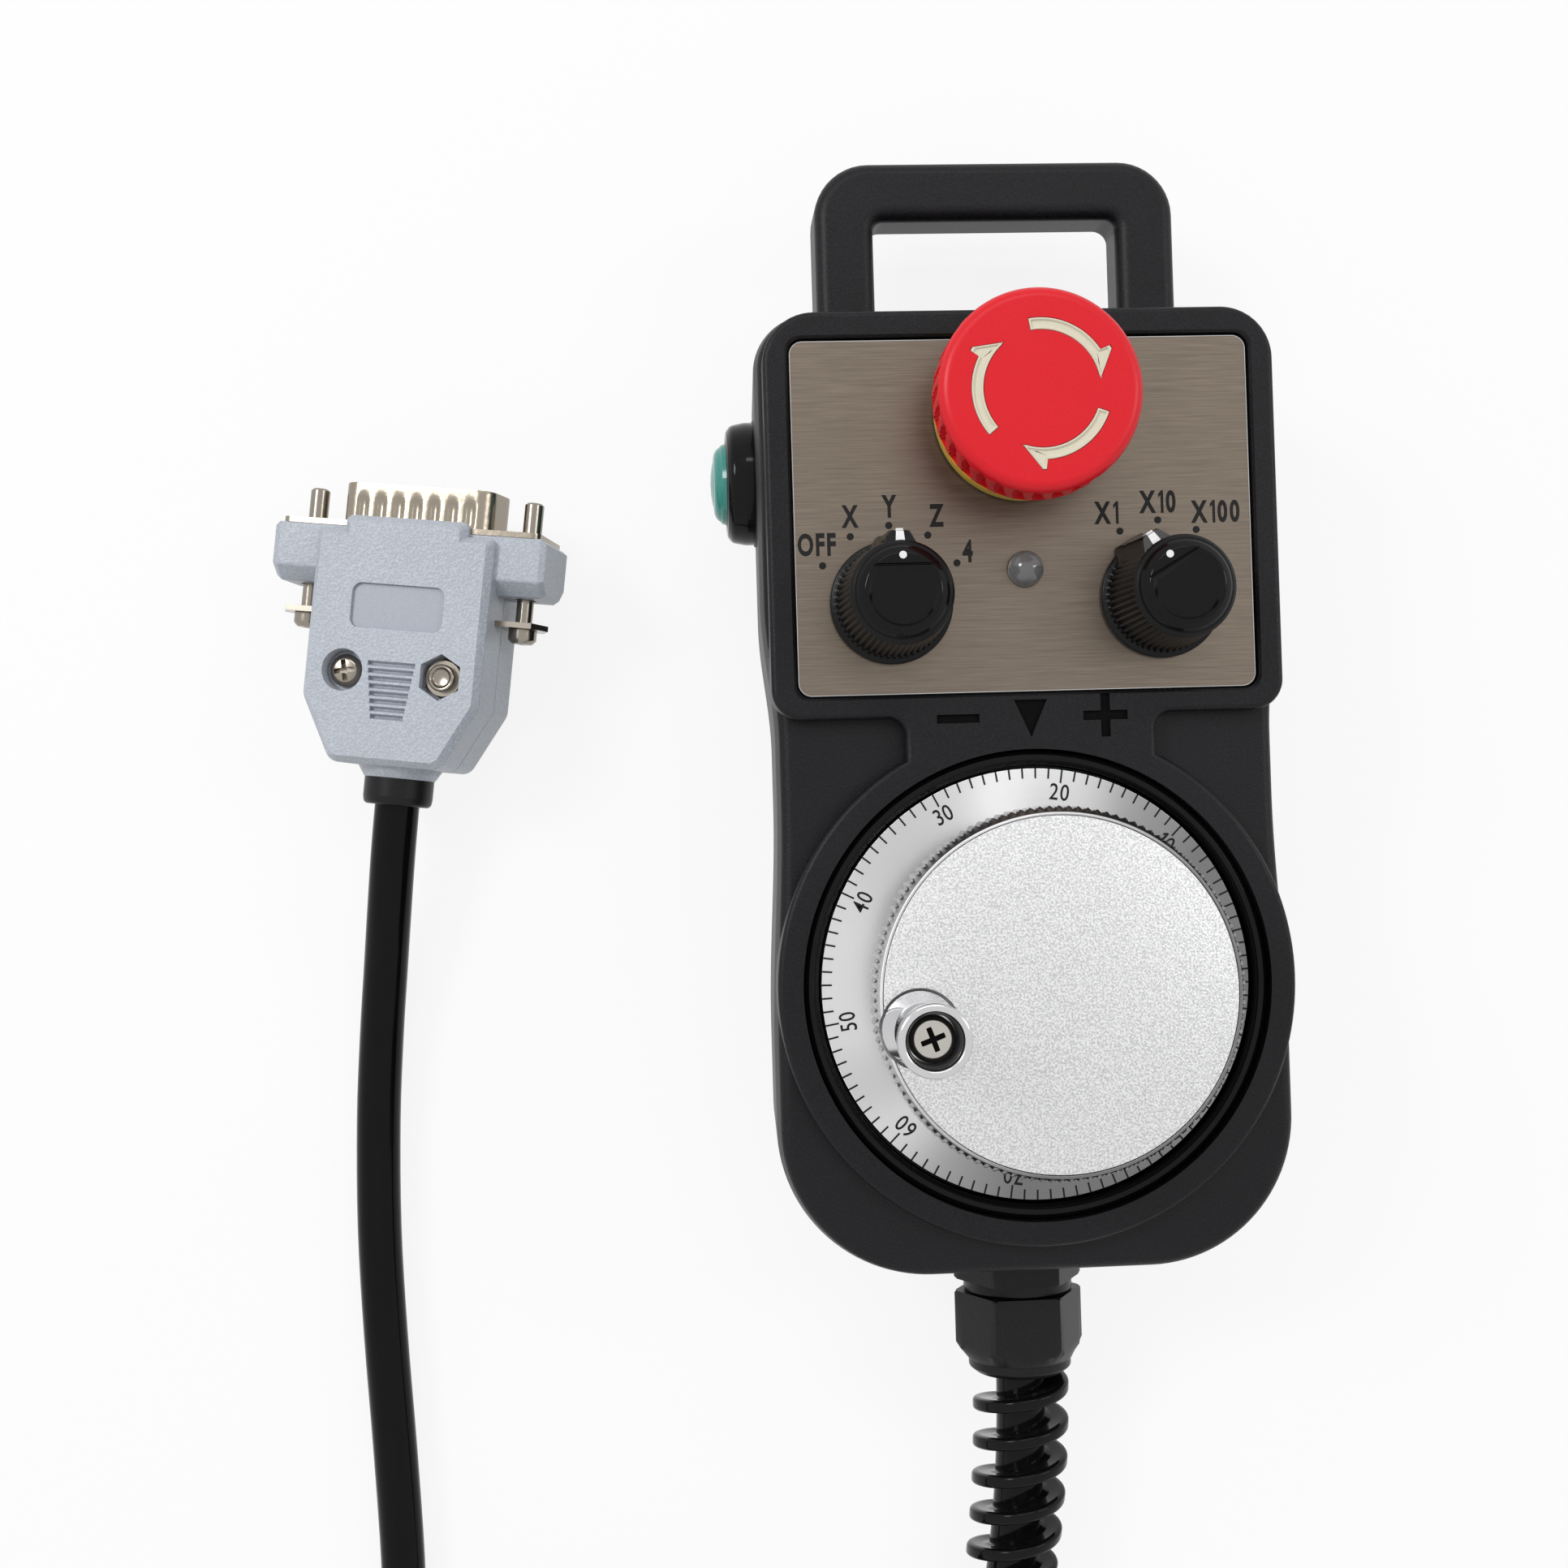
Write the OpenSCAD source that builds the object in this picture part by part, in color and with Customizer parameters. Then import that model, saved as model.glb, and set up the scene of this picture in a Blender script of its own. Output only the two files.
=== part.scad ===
// Hand-held pulse generator pendant: a handwheel, two selector knobs, a stop button,
// an enable button, a handle loop, and a cable that ends in a D-shaped plug.
// Millimetres. The origin is where the handwheel's axis meets the back face; +Z is
// towards the operator, +Y towards the handle, +X to the operator's right.

/* [Housing] */
// Width across the head
head_w = 73.3; // [69:0.1:78]
// Width across the waist
waist_w = 70.2; // [66:0.1:74]
// Width beside the handwheel
wheel_w = 72.8; // [72.4:0.1:78]
// Wheel axis to the head's top edge
head_top = 94.5; // [93:0.1:100]
// Wheel axis to the body's foot edge
foot_y = 40.4; // [39:0.1:46]
// Corner radius at the head
head_r = 8; // [6:0.1:10]
// Corner radius at the foot
foot_r = 21; // [16:0.1:22]
// Back face to the top of the frame
body_d = 38; // [36:0.1:44]
// Thickness of the rear cover
cover_t = 5; // [4.5:0.1:6]
// Depth of the shoulders below the frame
shoulder_drop = 3; // [2:0.1:4]
// Taper of each side wall, from the shoulder to the back
draft = 1.2; // [0.6:0.1:1.6]
// Wall thickness of the mouldings
wall = 2.5; // [2:0.1:3]
// Rounding of the back edge
back_round = 2; // [1:0.1:3]

/* [Handle loop] */
// Width of the handle loop
handle_w = 53; // [48:0.1:60]
// Reach of the loop above the head
handle_reach = 24.8; // [22:0.1:32]
// Width of the loop's side bars
handle_bar = 8; // [6.5:0.1:10]
// Depth of the loop's top bar
handle_top_bar = 7.3; // [6.5:0.1:10]
// Thickness of the loop, front to back
handle_t = 11; // [8:0.1:13]
// Height of the loop's middle above the back face
handle_z = 17; // [15:0.1:20]
// Outer corner radius of the loop
handle_r = 8; // [6:0.1:10]

/* [Panel plate] */
// Width of the steel plate
plate_w = 64.1; // [62:0.1:66]
// Height of the steel plate
plate_h = 49.3; // [47:0.1:51]
// Wheel axis to the middle of the plate
plate_y = 65; // [64.5:0.1:66]
// Thickness of the plate
plate_t = 1; // [0.8:0.1:1.5]
// Depth of the plate below the frame
plate_drop = 0.8; // [0.3:0.1:1.2]
// Corner radius of the plate
plate_r = 2; // [1:0.1:3]

/* [Handwheel] */
// Radius of the graduated dial
dial_r = 30; // [29:0.1:30.5]
// Thickness of the dial flange
dial_t = 1.5; // [1.2:0.1:2]
// Depth of the dial face below the frame
dial_drop = 2.2; // [1.8:0.1:2.6]
// Dial face to the top of the hub disc
hub_h = 18; // [16:0.1:20]
// Radius over the hub's knurl
knurl_r = 24.6; // [24:0.1:26]
// Height of the knurled rim
knurl_h = 6.5; // [5:0.1:8]
// Number of knurl teeth
knurl_n = 120; // [90:1:140]
// Radius of the waist under the rim
hub_waist_r = 19; // [16:0.1:21]
// Radius of the satin hub disc
disc_r = 23.3; // [22.5:0.1:23.5]
// Thickness of the hub disc
disc_t = 1; // [0.8:0.1:1.5]

/* [Crank grip] */
// Wheel axis to the grip's axis
grip_at = 19; // [18:0.1:19.5]
// Radius of the grip's top rim
grip_top_r = 4.65; // [4.3:0.05:5]
// Radius of the grip's foot
grip_foot_r = 5; // [4.7:0.05:5.3]
// Height of the grip above the disc
grip_h = 14.4; // [12:0.1:17]
// Shoulder radius of the crank screw
crank_r = 2; // [1.6:0.1:2.4]

/* [Pulse unit] */
// Outer radius of the glossy bezel ring
bezel_r = 32.3; // [32:0.1:32.6]
// Radius of the unit's cup behind the panel
cup_r = 25; // [24:0.1:26]
// Depth of the unit's cup below its face
cup_d = 17.7; // [16.5:0.1:18.5]
// Radius of the slotted code disc
code_r = 18.5; // [17:0.1:19.5]
// Radius of the wheel's shaft
shaft_r = 3; // [2.5:0.1:3.5]
// Outer radius of the ball bearings
bearing_r = 6.5; // [6:0.1:7.5]
// Width of each bearing
bearing_w = 3.5; // [3:0.1:4]
// Detents in one turn
detent_n = 100; // [50:1:100]
// Radius of the detent wheel
detent_r = 14; // [12:0.1:16]

/* [Selector knobs] */
// Panel centre line to each knob's axis
knob_x = 18.8; // [18:0.1:20]
// Wheel axis to the knobs' axes
knob_y = 53.1; // [52:0.1:55]
// Radius of the knob's skirt
skirt_r = 8.5; // [8:0.1:9.5]
// Radius of the knurled body at its foot
knob_foot_r = 7.8; // [7:0.1:8]
// Radius of the knurled body at its top
knob_top_r = 6.9; // [6.5:0.1:7.2]
// Height of the knob above the plate
knob_h = 15; // [14:0.1:18]
// Radius of the glossy cap
cap_r = 6.15; // [5.5:0.05:6.4]
// Radius of the rotary switch bodies
switch_r = 12; // [10:0.1:12.4]

/* [Stop button] */
// Wheel axis to the stop button's axis
stop_y = 79; // [78:0.1:80]
// Radius of the mushroom head
stop_r = 13.6; // [13.2:0.1:14.5]
// Plate to the top of the head
stop_h = 16.2; // [15.8:0.1:22]
// Notches round the head
stop_notches = 32; // [24:1:36]
// Radius of the yellow collar
collar_r = 12.6; // [11:0.1:13.2]
// Height of the yellow collar
collar_h = 3.4; // [2.8:0.1:3.6]
// Radius of the threaded barrel
barrel_r = 8; // [7.5:0.1:8.5]
// Travel of the stop button
stop_travel = 3.8; // [3:0.1:3.9]

/* [Enable button] */
// Wheel axis to the enable button's axis
button_y = 73; // [72:0.1:74]
// Height of the enable button above the back face
button_z = 19; // [17:0.1:21]
// Radius of the button's bezel
button_r = 8.9; // [8:0.1:9.5]
// Projection of the bezel
button_out = 4; // [3:0.1:5]
// Radius of the green cap
button_cap_r = 5.9; // [5:0.1:6]
// Projection of the cap past the bezel
cap_dome = 2.2; // [1.9:0.1:3]
// Travel of the enable button
button_travel = 1.8; // [1:0.1:1.8]

/* [Indicator] */
// Wheel axis to the lamp's axis
lamp_y = 57.4; // [55:0.1:59]
// Radius of the lamp
lamp_r = 2.5; // [1.5:0.1:2.8]

/* [Cable gland] */
// Height of the gland's axis above the back face
gland_z = 12.5; // [11.5:0.1:13.5]
// Width across the flats of the gland's hexagons
gland_af = 16.5; // [15:0.1:18]
// Radius of the gland's panel thread
gland_thread_r = 6.2; // [5.5:0.1:6.5]
// Radius of the cable
cable_r = 3.3; // [3:0.1:3.4]
// Outer radius of the bend protector at its root
spiral_r = 7.2; // [6.5:0.1:8]
// Length of the bend protector
spiral_l = 45; // [40:1:46]
// Pitch of the bend protector
spiral_pitch = 5.6; // [5:0.1:6.5]

/* [Plug] */
// Width across the plug hood's ears
hood_w = 41.4; // [40:0.1:44]
// Width of the hood's body
hood_body_w = 26.8; // [25:0.1:28]
// Thickness of the hood's body
hood_t = 16.5; // [15:0.1:18]
// Hood's cable end to its flange face
hood_l = 36.3; // [34:0.1:40]
// Width of the D-shaped shell's long side
shell_w = 25.25; // [25:0.05:25.4]
// Height of the D-shaped shell
shell_h = 8.36; // [8.2:0.02:8.5]
// Distance between the jackscrews
jack_pitch = 33.32; // [33.2:0.02:33.4]
// Radius of the jackscrew thread
jack_r = 1.42; // [1.3:0.02:1.5]
// Width of the plug's metal flange
flange_w = 39.14; // [38.8:0.02:39.5]
// Height of the plug's metal flange
flange_h = 12.5; // [12:0.1:12.8]

/* [Hidden] */
$fn = 64;

// ---- levels, all from the back face ----
fit = 0.2;                                   // clearance round a seated piece
run = 0.05;                                  // running clearance round a shaft
air = 0.3;                                   // gap between curved pieces that don't touch
shoulder_z = body_d - shoulder_drop;
plate_z = body_d - plate_drop;               // front face of the steel plate
plate_back = plate_z - plate_t;
front_z = shoulder_z - wall;                 // inside of the front wall
dial_z = body_d - dial_drop;                 // graduated face
dial_back = dial_z - dial_t;
unit_z = dial_back - 0.6;                    // front face of the pulse unit
seat_z = unit_z - 2;                         // seat of the unit in the housing
hub_z = dial_z + hub_h;                      // top of the hub disc
head_low = plate_y - plate_h / 2 - 3.2;      // lower edge of the raised head
neck_w = 34.8;
shoulder_low = body_d - 6.5;                 // where the side walls start to taper
function taper(z) = draft * max(0, 1 - z / shoulder_low);
side_x = head_w / 2 - taper(button_z + button_r);   // flat pad under the enable button

// ---- outline of the body ----
function ease(t) = (1 - cos(180 * min(max(t, 0), 1))) / 2;
function half_w(y) = waist_w / 2 + (wheel_w - waist_w) / 2 * ease((26 - y) / 34)
  + (head_w - waist_w) / 2 * ease((y - 34) / 20);
function arc(cx, cy, r, a0, a1, n) = [for (i = [0 : n]) let (a = a0 + (a1 - a0) * i / n)
  [cx + r * cos(a), cy + r * sin(a)]];
side_y = [for (y = [-14 : 6 : 58]) y];
function right_side(d) = concat(
  arc(wheel_w / 2 - foot_r, foot_r - foot_y, foot_r - d, -90, 0, 9),
  [for (y = side_y) [half_w(y) - d, y]],
  arc(head_w / 2 - head_r, head_top - head_r, head_r - d, 0, 90, 6));
function flip(pts) = [for (i = [len(pts) - 1 : -1 : 0]) [-pts[i][0], pts[i][1]]];
function outline(d, t = 0) = let (r = [for (p = right_side(d)) [p[0] - t, p[1]]])
  concat(r, flip(r));

// rounded rectangle with its own radius at the top and at the bottom corners
function rrect(x, y0, y1, rt, rb, n = 5) = concat(
  arc(x - rb, y0 + rb, rb, -90, 0, n), arc(x - rt, y1 - rt, rt, 0, 90, n),
  arc(rt - x, y1 - rt, rt, 90, 180, n), arc(rb - x, y0 + rb, rb, 180, 270, n));

// solid skinned through rings that all have the same number of points
module loft(rings) {
  n = len(rings[0]);
  m = len(rings);
  sides = [for (j = [0 : m - 2], i = [0 : n - 1], h = [0, 1]) let (k = (i + 1) % n)
    h == 0 ? [j * n + i, (j + 1) * n + i, (j + 1) * n + k] : [j * n + i, (j + 1) * n + k, j * n + k]];
  caps = [[for (i = [0 : n - 1]) i], [for (i = [n - 1 : -1 : 0]) (m - 1) * n + i]];
  polyhedron(points = [for (r = rings) each r], faces = concat(sides, caps), convexity = 8);
}
function at_z(pts, z) = [for (p = pts) [p[0], p[1], z]];

module hexagon(af, h) { cylinder(r = af / sqrt(3), h = h, $fn = 6); }
module ring(r, bore, h) {
  difference() {
    cylinder(r = r, h = h);
    translate([0, 0, -1]) cylinder(r = bore, h = h + 2);
  }
}
module both() { for (s = [-1, 1]) translate([s * knob_x, knob_y, 0]) children(); }

// ---- housing ----
post_r = 3.5;
post_at = [[27, head_top - 9.5], [26, 34], [23.5, 13 - foot_y]];
screw_r = 1.15;
module posts() {
  for (p = post_at, s = [-1, 1]) translate([s * p[0], p[1], 0]) children();
}
module body_shell() {
  difference() {
    loft([at_z(outline(0, taper(cover_t)), cover_t), at_z(outline(0), shoulder_low),
      at_z(outline(0.5), shoulder_z - 1.5), at_z(outline(1), shoulder_z - 0.5),
      at_z(outline(2), shoulder_z)]);
    loft([at_z(outline(wall, taper(cover_t - 1)), cover_t - 1),
      at_z(outline(wall, taper(body_d - 10)), body_d - 10),
      at_z(outline(wall + 1), front_z)]);
  }
}
function head_ring(d) = rrect(head_w / 2 - 1 - d, head_low + d, head_top - 1 - d, 7, 4);
module raised_head() {
  difference() {
    loft([at_z(head_ring(0), front_z), at_z(head_ring(0), body_d - 1),
      at_z(head_ring(0.3), body_d - 0.3), at_z(head_ring(1), body_d)]);
    translate([0, 0, plate_back])
      linear_extrude(plate_drop + plate_t + 1) polygon(rrect(plate_w / 2 + fit,
        plate_y - plate_h / 2 - fit, plate_y + plate_h / 2 + fit, plate_r, plate_r));
  }
}
module neck() {
  translate([0, head_low + 3, 0]) rotate([90, 0, 0])
    linear_extrude(head_low + 3 - 26)
      polygon([[-neck_w / 2, front_z], [neck_w / 2, front_z], [neck_w / 2, body_d - 0.8],
        [neck_w / 2 - 0.8, body_d], [0.8 - neck_w / 2, body_d], [-neck_w / 2, body_d - 0.8]]);
}
boss_r = bezel_r + 3.7;
module boss() {
  rotate_extrude($fn = 128) polygon([[cup_r + 1, seat_z - 3], [boss_r - 1.5, seat_z - 3],
    [boss_r, seat_z - 1], [boss_r, body_d - 0.8], [boss_r - 0.3, body_d - 0.3],
    [boss_r - 0.9, body_d], [cup_r + 1, body_d]]);
}
handle_y = [head_top - 4, head_top + handle_reach];
function loop_ring(d) = rrect(handle_w / 2 - d, handle_y[0], handle_y[1] - d,
  handle_r - d, 0.5);
function gap_ring(d) = rrect(handle_w / 2 - handle_bar + d, handle_y[0] - 3,
  handle_y[1] - handle_top_bar + d, 2.2 + d, 0.5);
module handle_loop() {
  z0 = handle_z - handle_t / 2;
  z1 = handle_z + handle_t / 2;
  difference() {
    loft([at_z(loop_ring(2.5), z0), at_z(loop_ring(0.8), z0 + 0.8), at_z(loop_ring(0), z0 + 2.5),
      at_z(loop_ring(0), z1 - 2.5), at_z(loop_ring(0.8), z1 - 0.8), at_z(loop_ring(2.5), z1)]);
    difference() {
      loft([at_z(gap_ring(2.2), z0 - 0.1), at_z(gap_ring(0.7), z0 + 0.7),
        at_z(gap_ring(0), z0 + 2.2), at_z(gap_ring(0), z1 - 2.2),
        at_z(gap_ring(0.7), z1 - 0.7), at_z(gap_ring(2.2), z1 + 0.1)]);
      translate([-handle_w, handle_y[0] - 9, 0]) cube([2 * handle_w, 12.5, body_d]);
    }
    translate([-handle_w, handle_y[0] - 9, 0]) cube([2 * handle_w, 12.6 - wall, body_d]);
  }
}
module button_side(r, depth, h) {
  translate([depth - side_x, button_y, button_z]) rotate([0, 90, 0]) cylinder(r = r, h = h);
}
mark_y = head_low - 0.3;
module marks() {
  translate([0, 0, body_d - 0.6]) linear_extrude(1) {
    translate([-10.1, mark_y]) square([5.9, 1.2], center = true);
    translate([10.4, mark_y]) {
      square([6.2, 1.3], center = true);
      square([1.3, 6], center = true);
    }
    polygon([[-2.3, mark_y + 2.4], [2.3, mark_y + 2.4], [0, mark_y - 2.8]]);
  }
}
screw_at = [for (a = [90, 210, 330]) [27.9 * cos(a), 27.9 * sin(a)]];
module housing() {
  color([0.08, 0.08, 0.09]) difference() {
    union() {
      body_shell();
      raised_head();
      neck();
      boss();
      handle_loop();
      button_side(button_r + 0.3, 0, wall);
      posts() translate([0, 0, cover_t]) cylinder(r = post_r, h = front_z - cover_t + 0.5);
    }
    translate([0, 0, seat_z]) cylinder(r = bezel_r + fit, h = 20, $fn = 128);
    translate([0, 0, cover_t]) cylinder(r = cup_r + fit, h = body_d, $fn = 128);
    marks();
    posts() translate([0, 0, cover_t - 1]) cylinder(r = screw_r + run, h = 15, $fn = 24);
    for (p = screw_at) translate([p[0], p[1], seat_z - 5]) cylinder(r = 1.25, h = 6, $fn = 24);
    both() translate([0, 0, front_z - 1]) cylinder(r = 4.7, h = 9, $fn = 32);
    translate([0, stop_y, front_z - 1]) cylinder(r = barrel_r + fit, h = 9);
    translate([0, lamp_y, front_z - 1]) cylinder(r = lamp_r + 1.5, h = 9, $fn = 32);
    button_side(button_cap_r + 0.1, -1, wall + 2);
    button_side(9.2, wall, 3);
    translate([0, wall + 1 - foot_y, gland_z]) rotate([90, 0, 0])
      cylinder(r = gland_thread_r + 0.1, h = wall + 2);
  }
}
module rear_cover() {
  color([0.08, 0.08, 0.09]) difference() {
    union() {
      loft([at_z(outline(back_round, draft), 0),
        at_z(outline(back_round * 0.3, taper(back_round * 0.35)), back_round * 0.35),
        at_z(outline(0, taper(back_round)), back_round),
        at_z(outline(0, taper(cover_t)), cover_t)]);
      difference() {
        translate([0, 0, cover_t - 0.5]) linear_extrude(2.5)
          polygon(outline(wall + fit, taper(cover_t)));
        translate([0, 0, cover_t]) linear_extrude(3)
          polygon(outline(wall + fit + 1.4, taper(cover_t)));
      }
    }
    translate([-gland_af * 0.6, -foot_y, cover_t]) cube([gland_af * 1.2, wall + 5, 5]);
    posts() translate([0, 0, -1]) cylinder(r = 1.7, h = cover_t + 2, $fn = 24);
    posts() translate([0, 0, -1]) cylinder(r = 3.2, h = 3.4, $fn = 32);
  }
}
module cover_screws() {
  color([0.7, 0.7, 0.72]) posts() translate([0, 0, 0.3]) difference() {
    union() {
      cylinder(r = 2.8, h = 2.1, $fn = 32);
      translate([0, 0, 2.1]) cylinder(r = screw_r, h = 14, $fn = 24);
    }
    for (a = [0, 90]) rotate(a) translate([-1.5, -0.3, -1]) cube([3, 0.6, 2]);
  }
}
module panel_plate() {
  color([0.62, 0.6, 0.56]) translate([0, 0, plate_back]) difference() {
    linear_extrude(plate_t) polygon(rrect(plate_w / 2, plate_y - plate_h / 2,
      plate_y + plate_h / 2, plate_r, plate_r));
    both() translate([0, 0, -1]) cylinder(r = 4.7, h = 4, $fn = 32);
    translate([0, stop_y, -1]) cylinder(r = barrel_r + fit, h = 4);
    translate([0, lamp_y, -1]) cylinder(r = lamp_r + 0.1, h = 4, $fn = 32);
  }
}

// ---- pulse unit behind the wheel ----
cup_floor = unit_z - cup_d;
tube_z = unit_z - 9.7;
module encoder_housing() {
  color([0.03, 0.03, 0.03]) difference() {
    rotate_extrude($fn = 128) polygon([
      [shaft_r + 1.5, unit_z], [dial_r + 0.35, unit_z], [dial_r + 0.35, body_d - 1.6],
      [dial_r + 0.8, body_d - 1.1], [bezel_r - 0.6, body_d - 1], [bezel_r, body_d - 1.5],
      [bezel_r, seat_z], [cup_r, seat_z], [cup_r, cup_floor], [cup_r - 2, cup_floor],
      [cup_r - 2, unit_z - 2], [bearing_r + 2, unit_z - 2], [bearing_r + 2, tube_z],
      [bearing_r, tube_z], [bearing_r, unit_z - 1.2], [shaft_r + 1.5, unit_z - 1.2]]);
    for (p = screw_at) translate([p[0], p[1], seat_z - 1]) {
      cylinder(r = 1.35, h = 5, $fn = 24);
      translate([0, 0, 2]) cylinder(r = 2.25, h = 5, $fn = 32);
    }
  }
}
module encoder_screws() {
  color([0.6, 0.6, 0.62]) for (p = screw_at) translate([p[0], p[1], unit_z - 1]) difference() {
    union() {
      cylinder(r = 2.1, h = 0.9, $fn = 32);
      translate([0, 0, -5]) cylinder(r = 1.2, h = 5, $fn = 24);
    }
    for (a = [0, 90]) rotate(a) translate([-1.2, -0.25, 0.4]) cube([2.4, 0.5, 1]);
  }
}
bearing_z = [tube_z + 0.2, unit_z - 1.2 - bearing_w];
module encoder_bearings() {
  color([0.75, 0.75, 0.77]) for (z = bearing_z) translate([0, 0, z])
    ring(bearing_r - 0.02, shaft_r + run, bearing_w);
}
shaft_low = cup_floor + 2.5;
shaft_top = hub_z - disc_t - 5;
module encoder_shaft() {
  color([0.72, 0.72, 0.74]) translate([0, 0, shaft_low])
    cylinder(r = shaft_r, h = shaft_top - shaft_low, $fn = 48);
}
detent_z = tube_z - 3;
module detent_wheel() {
  color([0.66, 0.64, 0.6]) translate([0, 0, detent_z]) difference() {
    linear_extrude(1.6) polygon([for (i = [0 : 2 * detent_n - 1]) let (a = 180 * i / detent_n,
      r = i % 2 == 0 ? detent_r : detent_r - 0.5) [r * cos(a), r * sin(a)]]);
    translate([0, 0, -1]) cylinder(r = shaft_r + 0.02, h = 4, $fn = 48);
  }
}
module detent_spring() {
  color([0.75, 0.7, 0.55]) translate([0, 0, detent_z - 0.2]) {
    translate([0, detent_r + 1.2, 0]) cylinder(r = 0.9, h = 2, $fn = 24);
    translate([-0.9, detent_r + 1.6, 0]) cube([12, 0.6, 2]);
    translate([10.6, detent_r + 1.6, 0]) cube([0.6, cup_r - detent_r - 8, 2]);
  }
}
module code_disc() {
  color([0.4, 0.4, 0.42]) difference() {
    union() {
      translate([0, 0, detent_z - 2.2]) cylinder(r = code_r, h = 0.5);
      translate([0, 0, detent_z - 2.2]) cylinder(r = 5.5, h = 2.2, $fn = 48);
    }
    translate([0, 0, detent_z - 5]) cylinder(r = shaft_r + 0.02, h = 9, $fn = 48);
    for (a = [0 : 15 : 345]) rotate(a) translate([code_r - 2.5, -0.6, detent_z - 3])
      cube([1.7, 1.2, 3]);
  }
}
module sensor_board() {
  color([0.05, 0.3, 0.15]) translate([0, 0, cup_floor]) {
    cylinder(r = cup_r - 2.3, h = 1.5);
    translate([15.5, -4, 1]) difference() {
      cube([6.6, 8, detent_z - cup_floor - 1.4]);
      translate([-1, -1, detent_z - cup_floor - 3.9]) cube([5.2, 10, 1.5]);
    }
  }
}
module encoder_cover() {
  color([0.1, 0.1, 0.1]) translate([0, 0, cup_floor - 2]) difference() {
    cylinder(r = cup_r, h = 2, $fn = 96);
    for (i = [-2.5 : 2.5]) translate([i * 6, 14, -1]) cylinder(r = 1.6, h = 4, $fn = 24);
  }
}
module terminal_posts() {
  color([0.8, 0.66, 0.3]) for (i = [-2.5 : 2.5]) translate([i * 6, 14, cup_floor - 6]) {
    cylinder(r = 1.5, h = 6, $fn = 24);
    cylinder(r = 2.4, h = 2, $fn = 24);
  }
}

// ---- handwheel ----
rim_z = hub_z - disc_t * 0.2 - knurl_h;
grip_pos = [grip_at * cos(191.4), grip_at * sin(191.4)];
function teeth(r, depth, n) = [for (i = [0 : 2 * n - 1]) let (a = 180 * i / n,
  q = i % 2 == 0 ? r : r - depth) [q * cos(a), q * sin(a)]];
module handwheel() {
  color([0.82, 0.82, 0.83]) difference() {
    union() {
      rotate_extrude($fn = 128) polygon([[0, dial_back], [dial_r - 0.3, dial_back],
        [dial_r, dial_back + 0.3], [dial_r, dial_z - 0.2], [dial_r - 0.2, dial_z],
        [hub_waist_r + 2, dial_z], [hub_waist_r, dial_z + 2], [hub_waist_r, rim_z - 3],
        [knurl_r - 0.6, rim_z], [knurl_r - 0.6, hub_z - disc_t], [disc_r + 0.3, hub_z],
        [0, hub_z]]);
      translate([0, 0, rim_z]) linear_extrude(knurl_h - 0.8)
        polygon(teeth(knurl_r, 0.45, knurl_n));
    }
    translate([0, 0, hub_z - disc_t]) cylinder(r = disc_r + 0.02, h = 3, $fn = 128);
    translate([0, 0, dial_back - 1]) cylinder(r = shaft_r + 0.02, h = shaft_top - dial_back + 1);
    at_grip() translate([0, 0, -7]) cylinder(r = crank_r - 0.48, h = 9, $fn = 32);
    at_grip() cylinder(r = grip_foot_r + air, h = 4);
  }
}
module hub_disc() {
  color([0.86, 0.86, 0.87]) translate([0, 0, hub_z - disc_t]) difference() {
    cylinder(r = disc_r, h = disc_t, $fn = 128);
    translate([grip_pos[0], grip_pos[1], -1]) cylinder(r = grip_foot_r + air, h = 4);
  }
}
grip_z = hub_z - disc_t;
module at_grip() { translate([grip_pos[0], grip_pos[1], grip_z]) children(); }
grip_top = grip_h + disc_t;
module crank_screw() {
  color([0.7, 0.69, 0.66]) at_grip() difference() {
    union() {
      translate([0, 0, -6]) cylinder(r = crank_r - 0.5, h = 6.5, $fn = 32);
      cylinder(r = crank_r, h = grip_top - 4.4, $fn = 32);
      translate([0, 0, grip_top - 4.4]) rotate_extrude($fn = 48)
        polygon([[0, 0], [2.8, 0], [2.8, 1], [2.3, 1.8], [1.2, 2.2], [0, 2.3]]);
    }
    for (a = [20, 110]) translate([0, 0, grip_top - 3.2]) rotate(a)
      translate([-1.5, -0.35, 0]) cube([3, 0.7, 3]);
  }
}
module crank_grip() {
  color([0.85, 0.85, 0.86]) at_grip() translate([0, 0, 0.1]) difference() {
    rotate_extrude($fn = 64) polygon(concat([[0, 0], [grip_foot_r, 0], [grip_foot_r, 1.2]],
      [for (i = [1 : 7]) [grip_foot_r - 0.55 * sin(180 * i / 8) + (grip_top_r - grip_foot_r)
        * i / 8, 1.2 + (grip_top - 3) * i / 8]],
      [[grip_top_r, grip_top - 1], [grip_top_r - 0.5, grip_top - 0.1], [0, grip_top - 0.1]]));
    translate([0, 0, -1]) cylinder(r = crank_r + run, h = grip_top + 2, $fn = 48);
    translate([0, 0, grip_top - 4.4 - 0.3]) cylinder(r = 3.4, h = 6, $fn = 48);
  }
}

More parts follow.
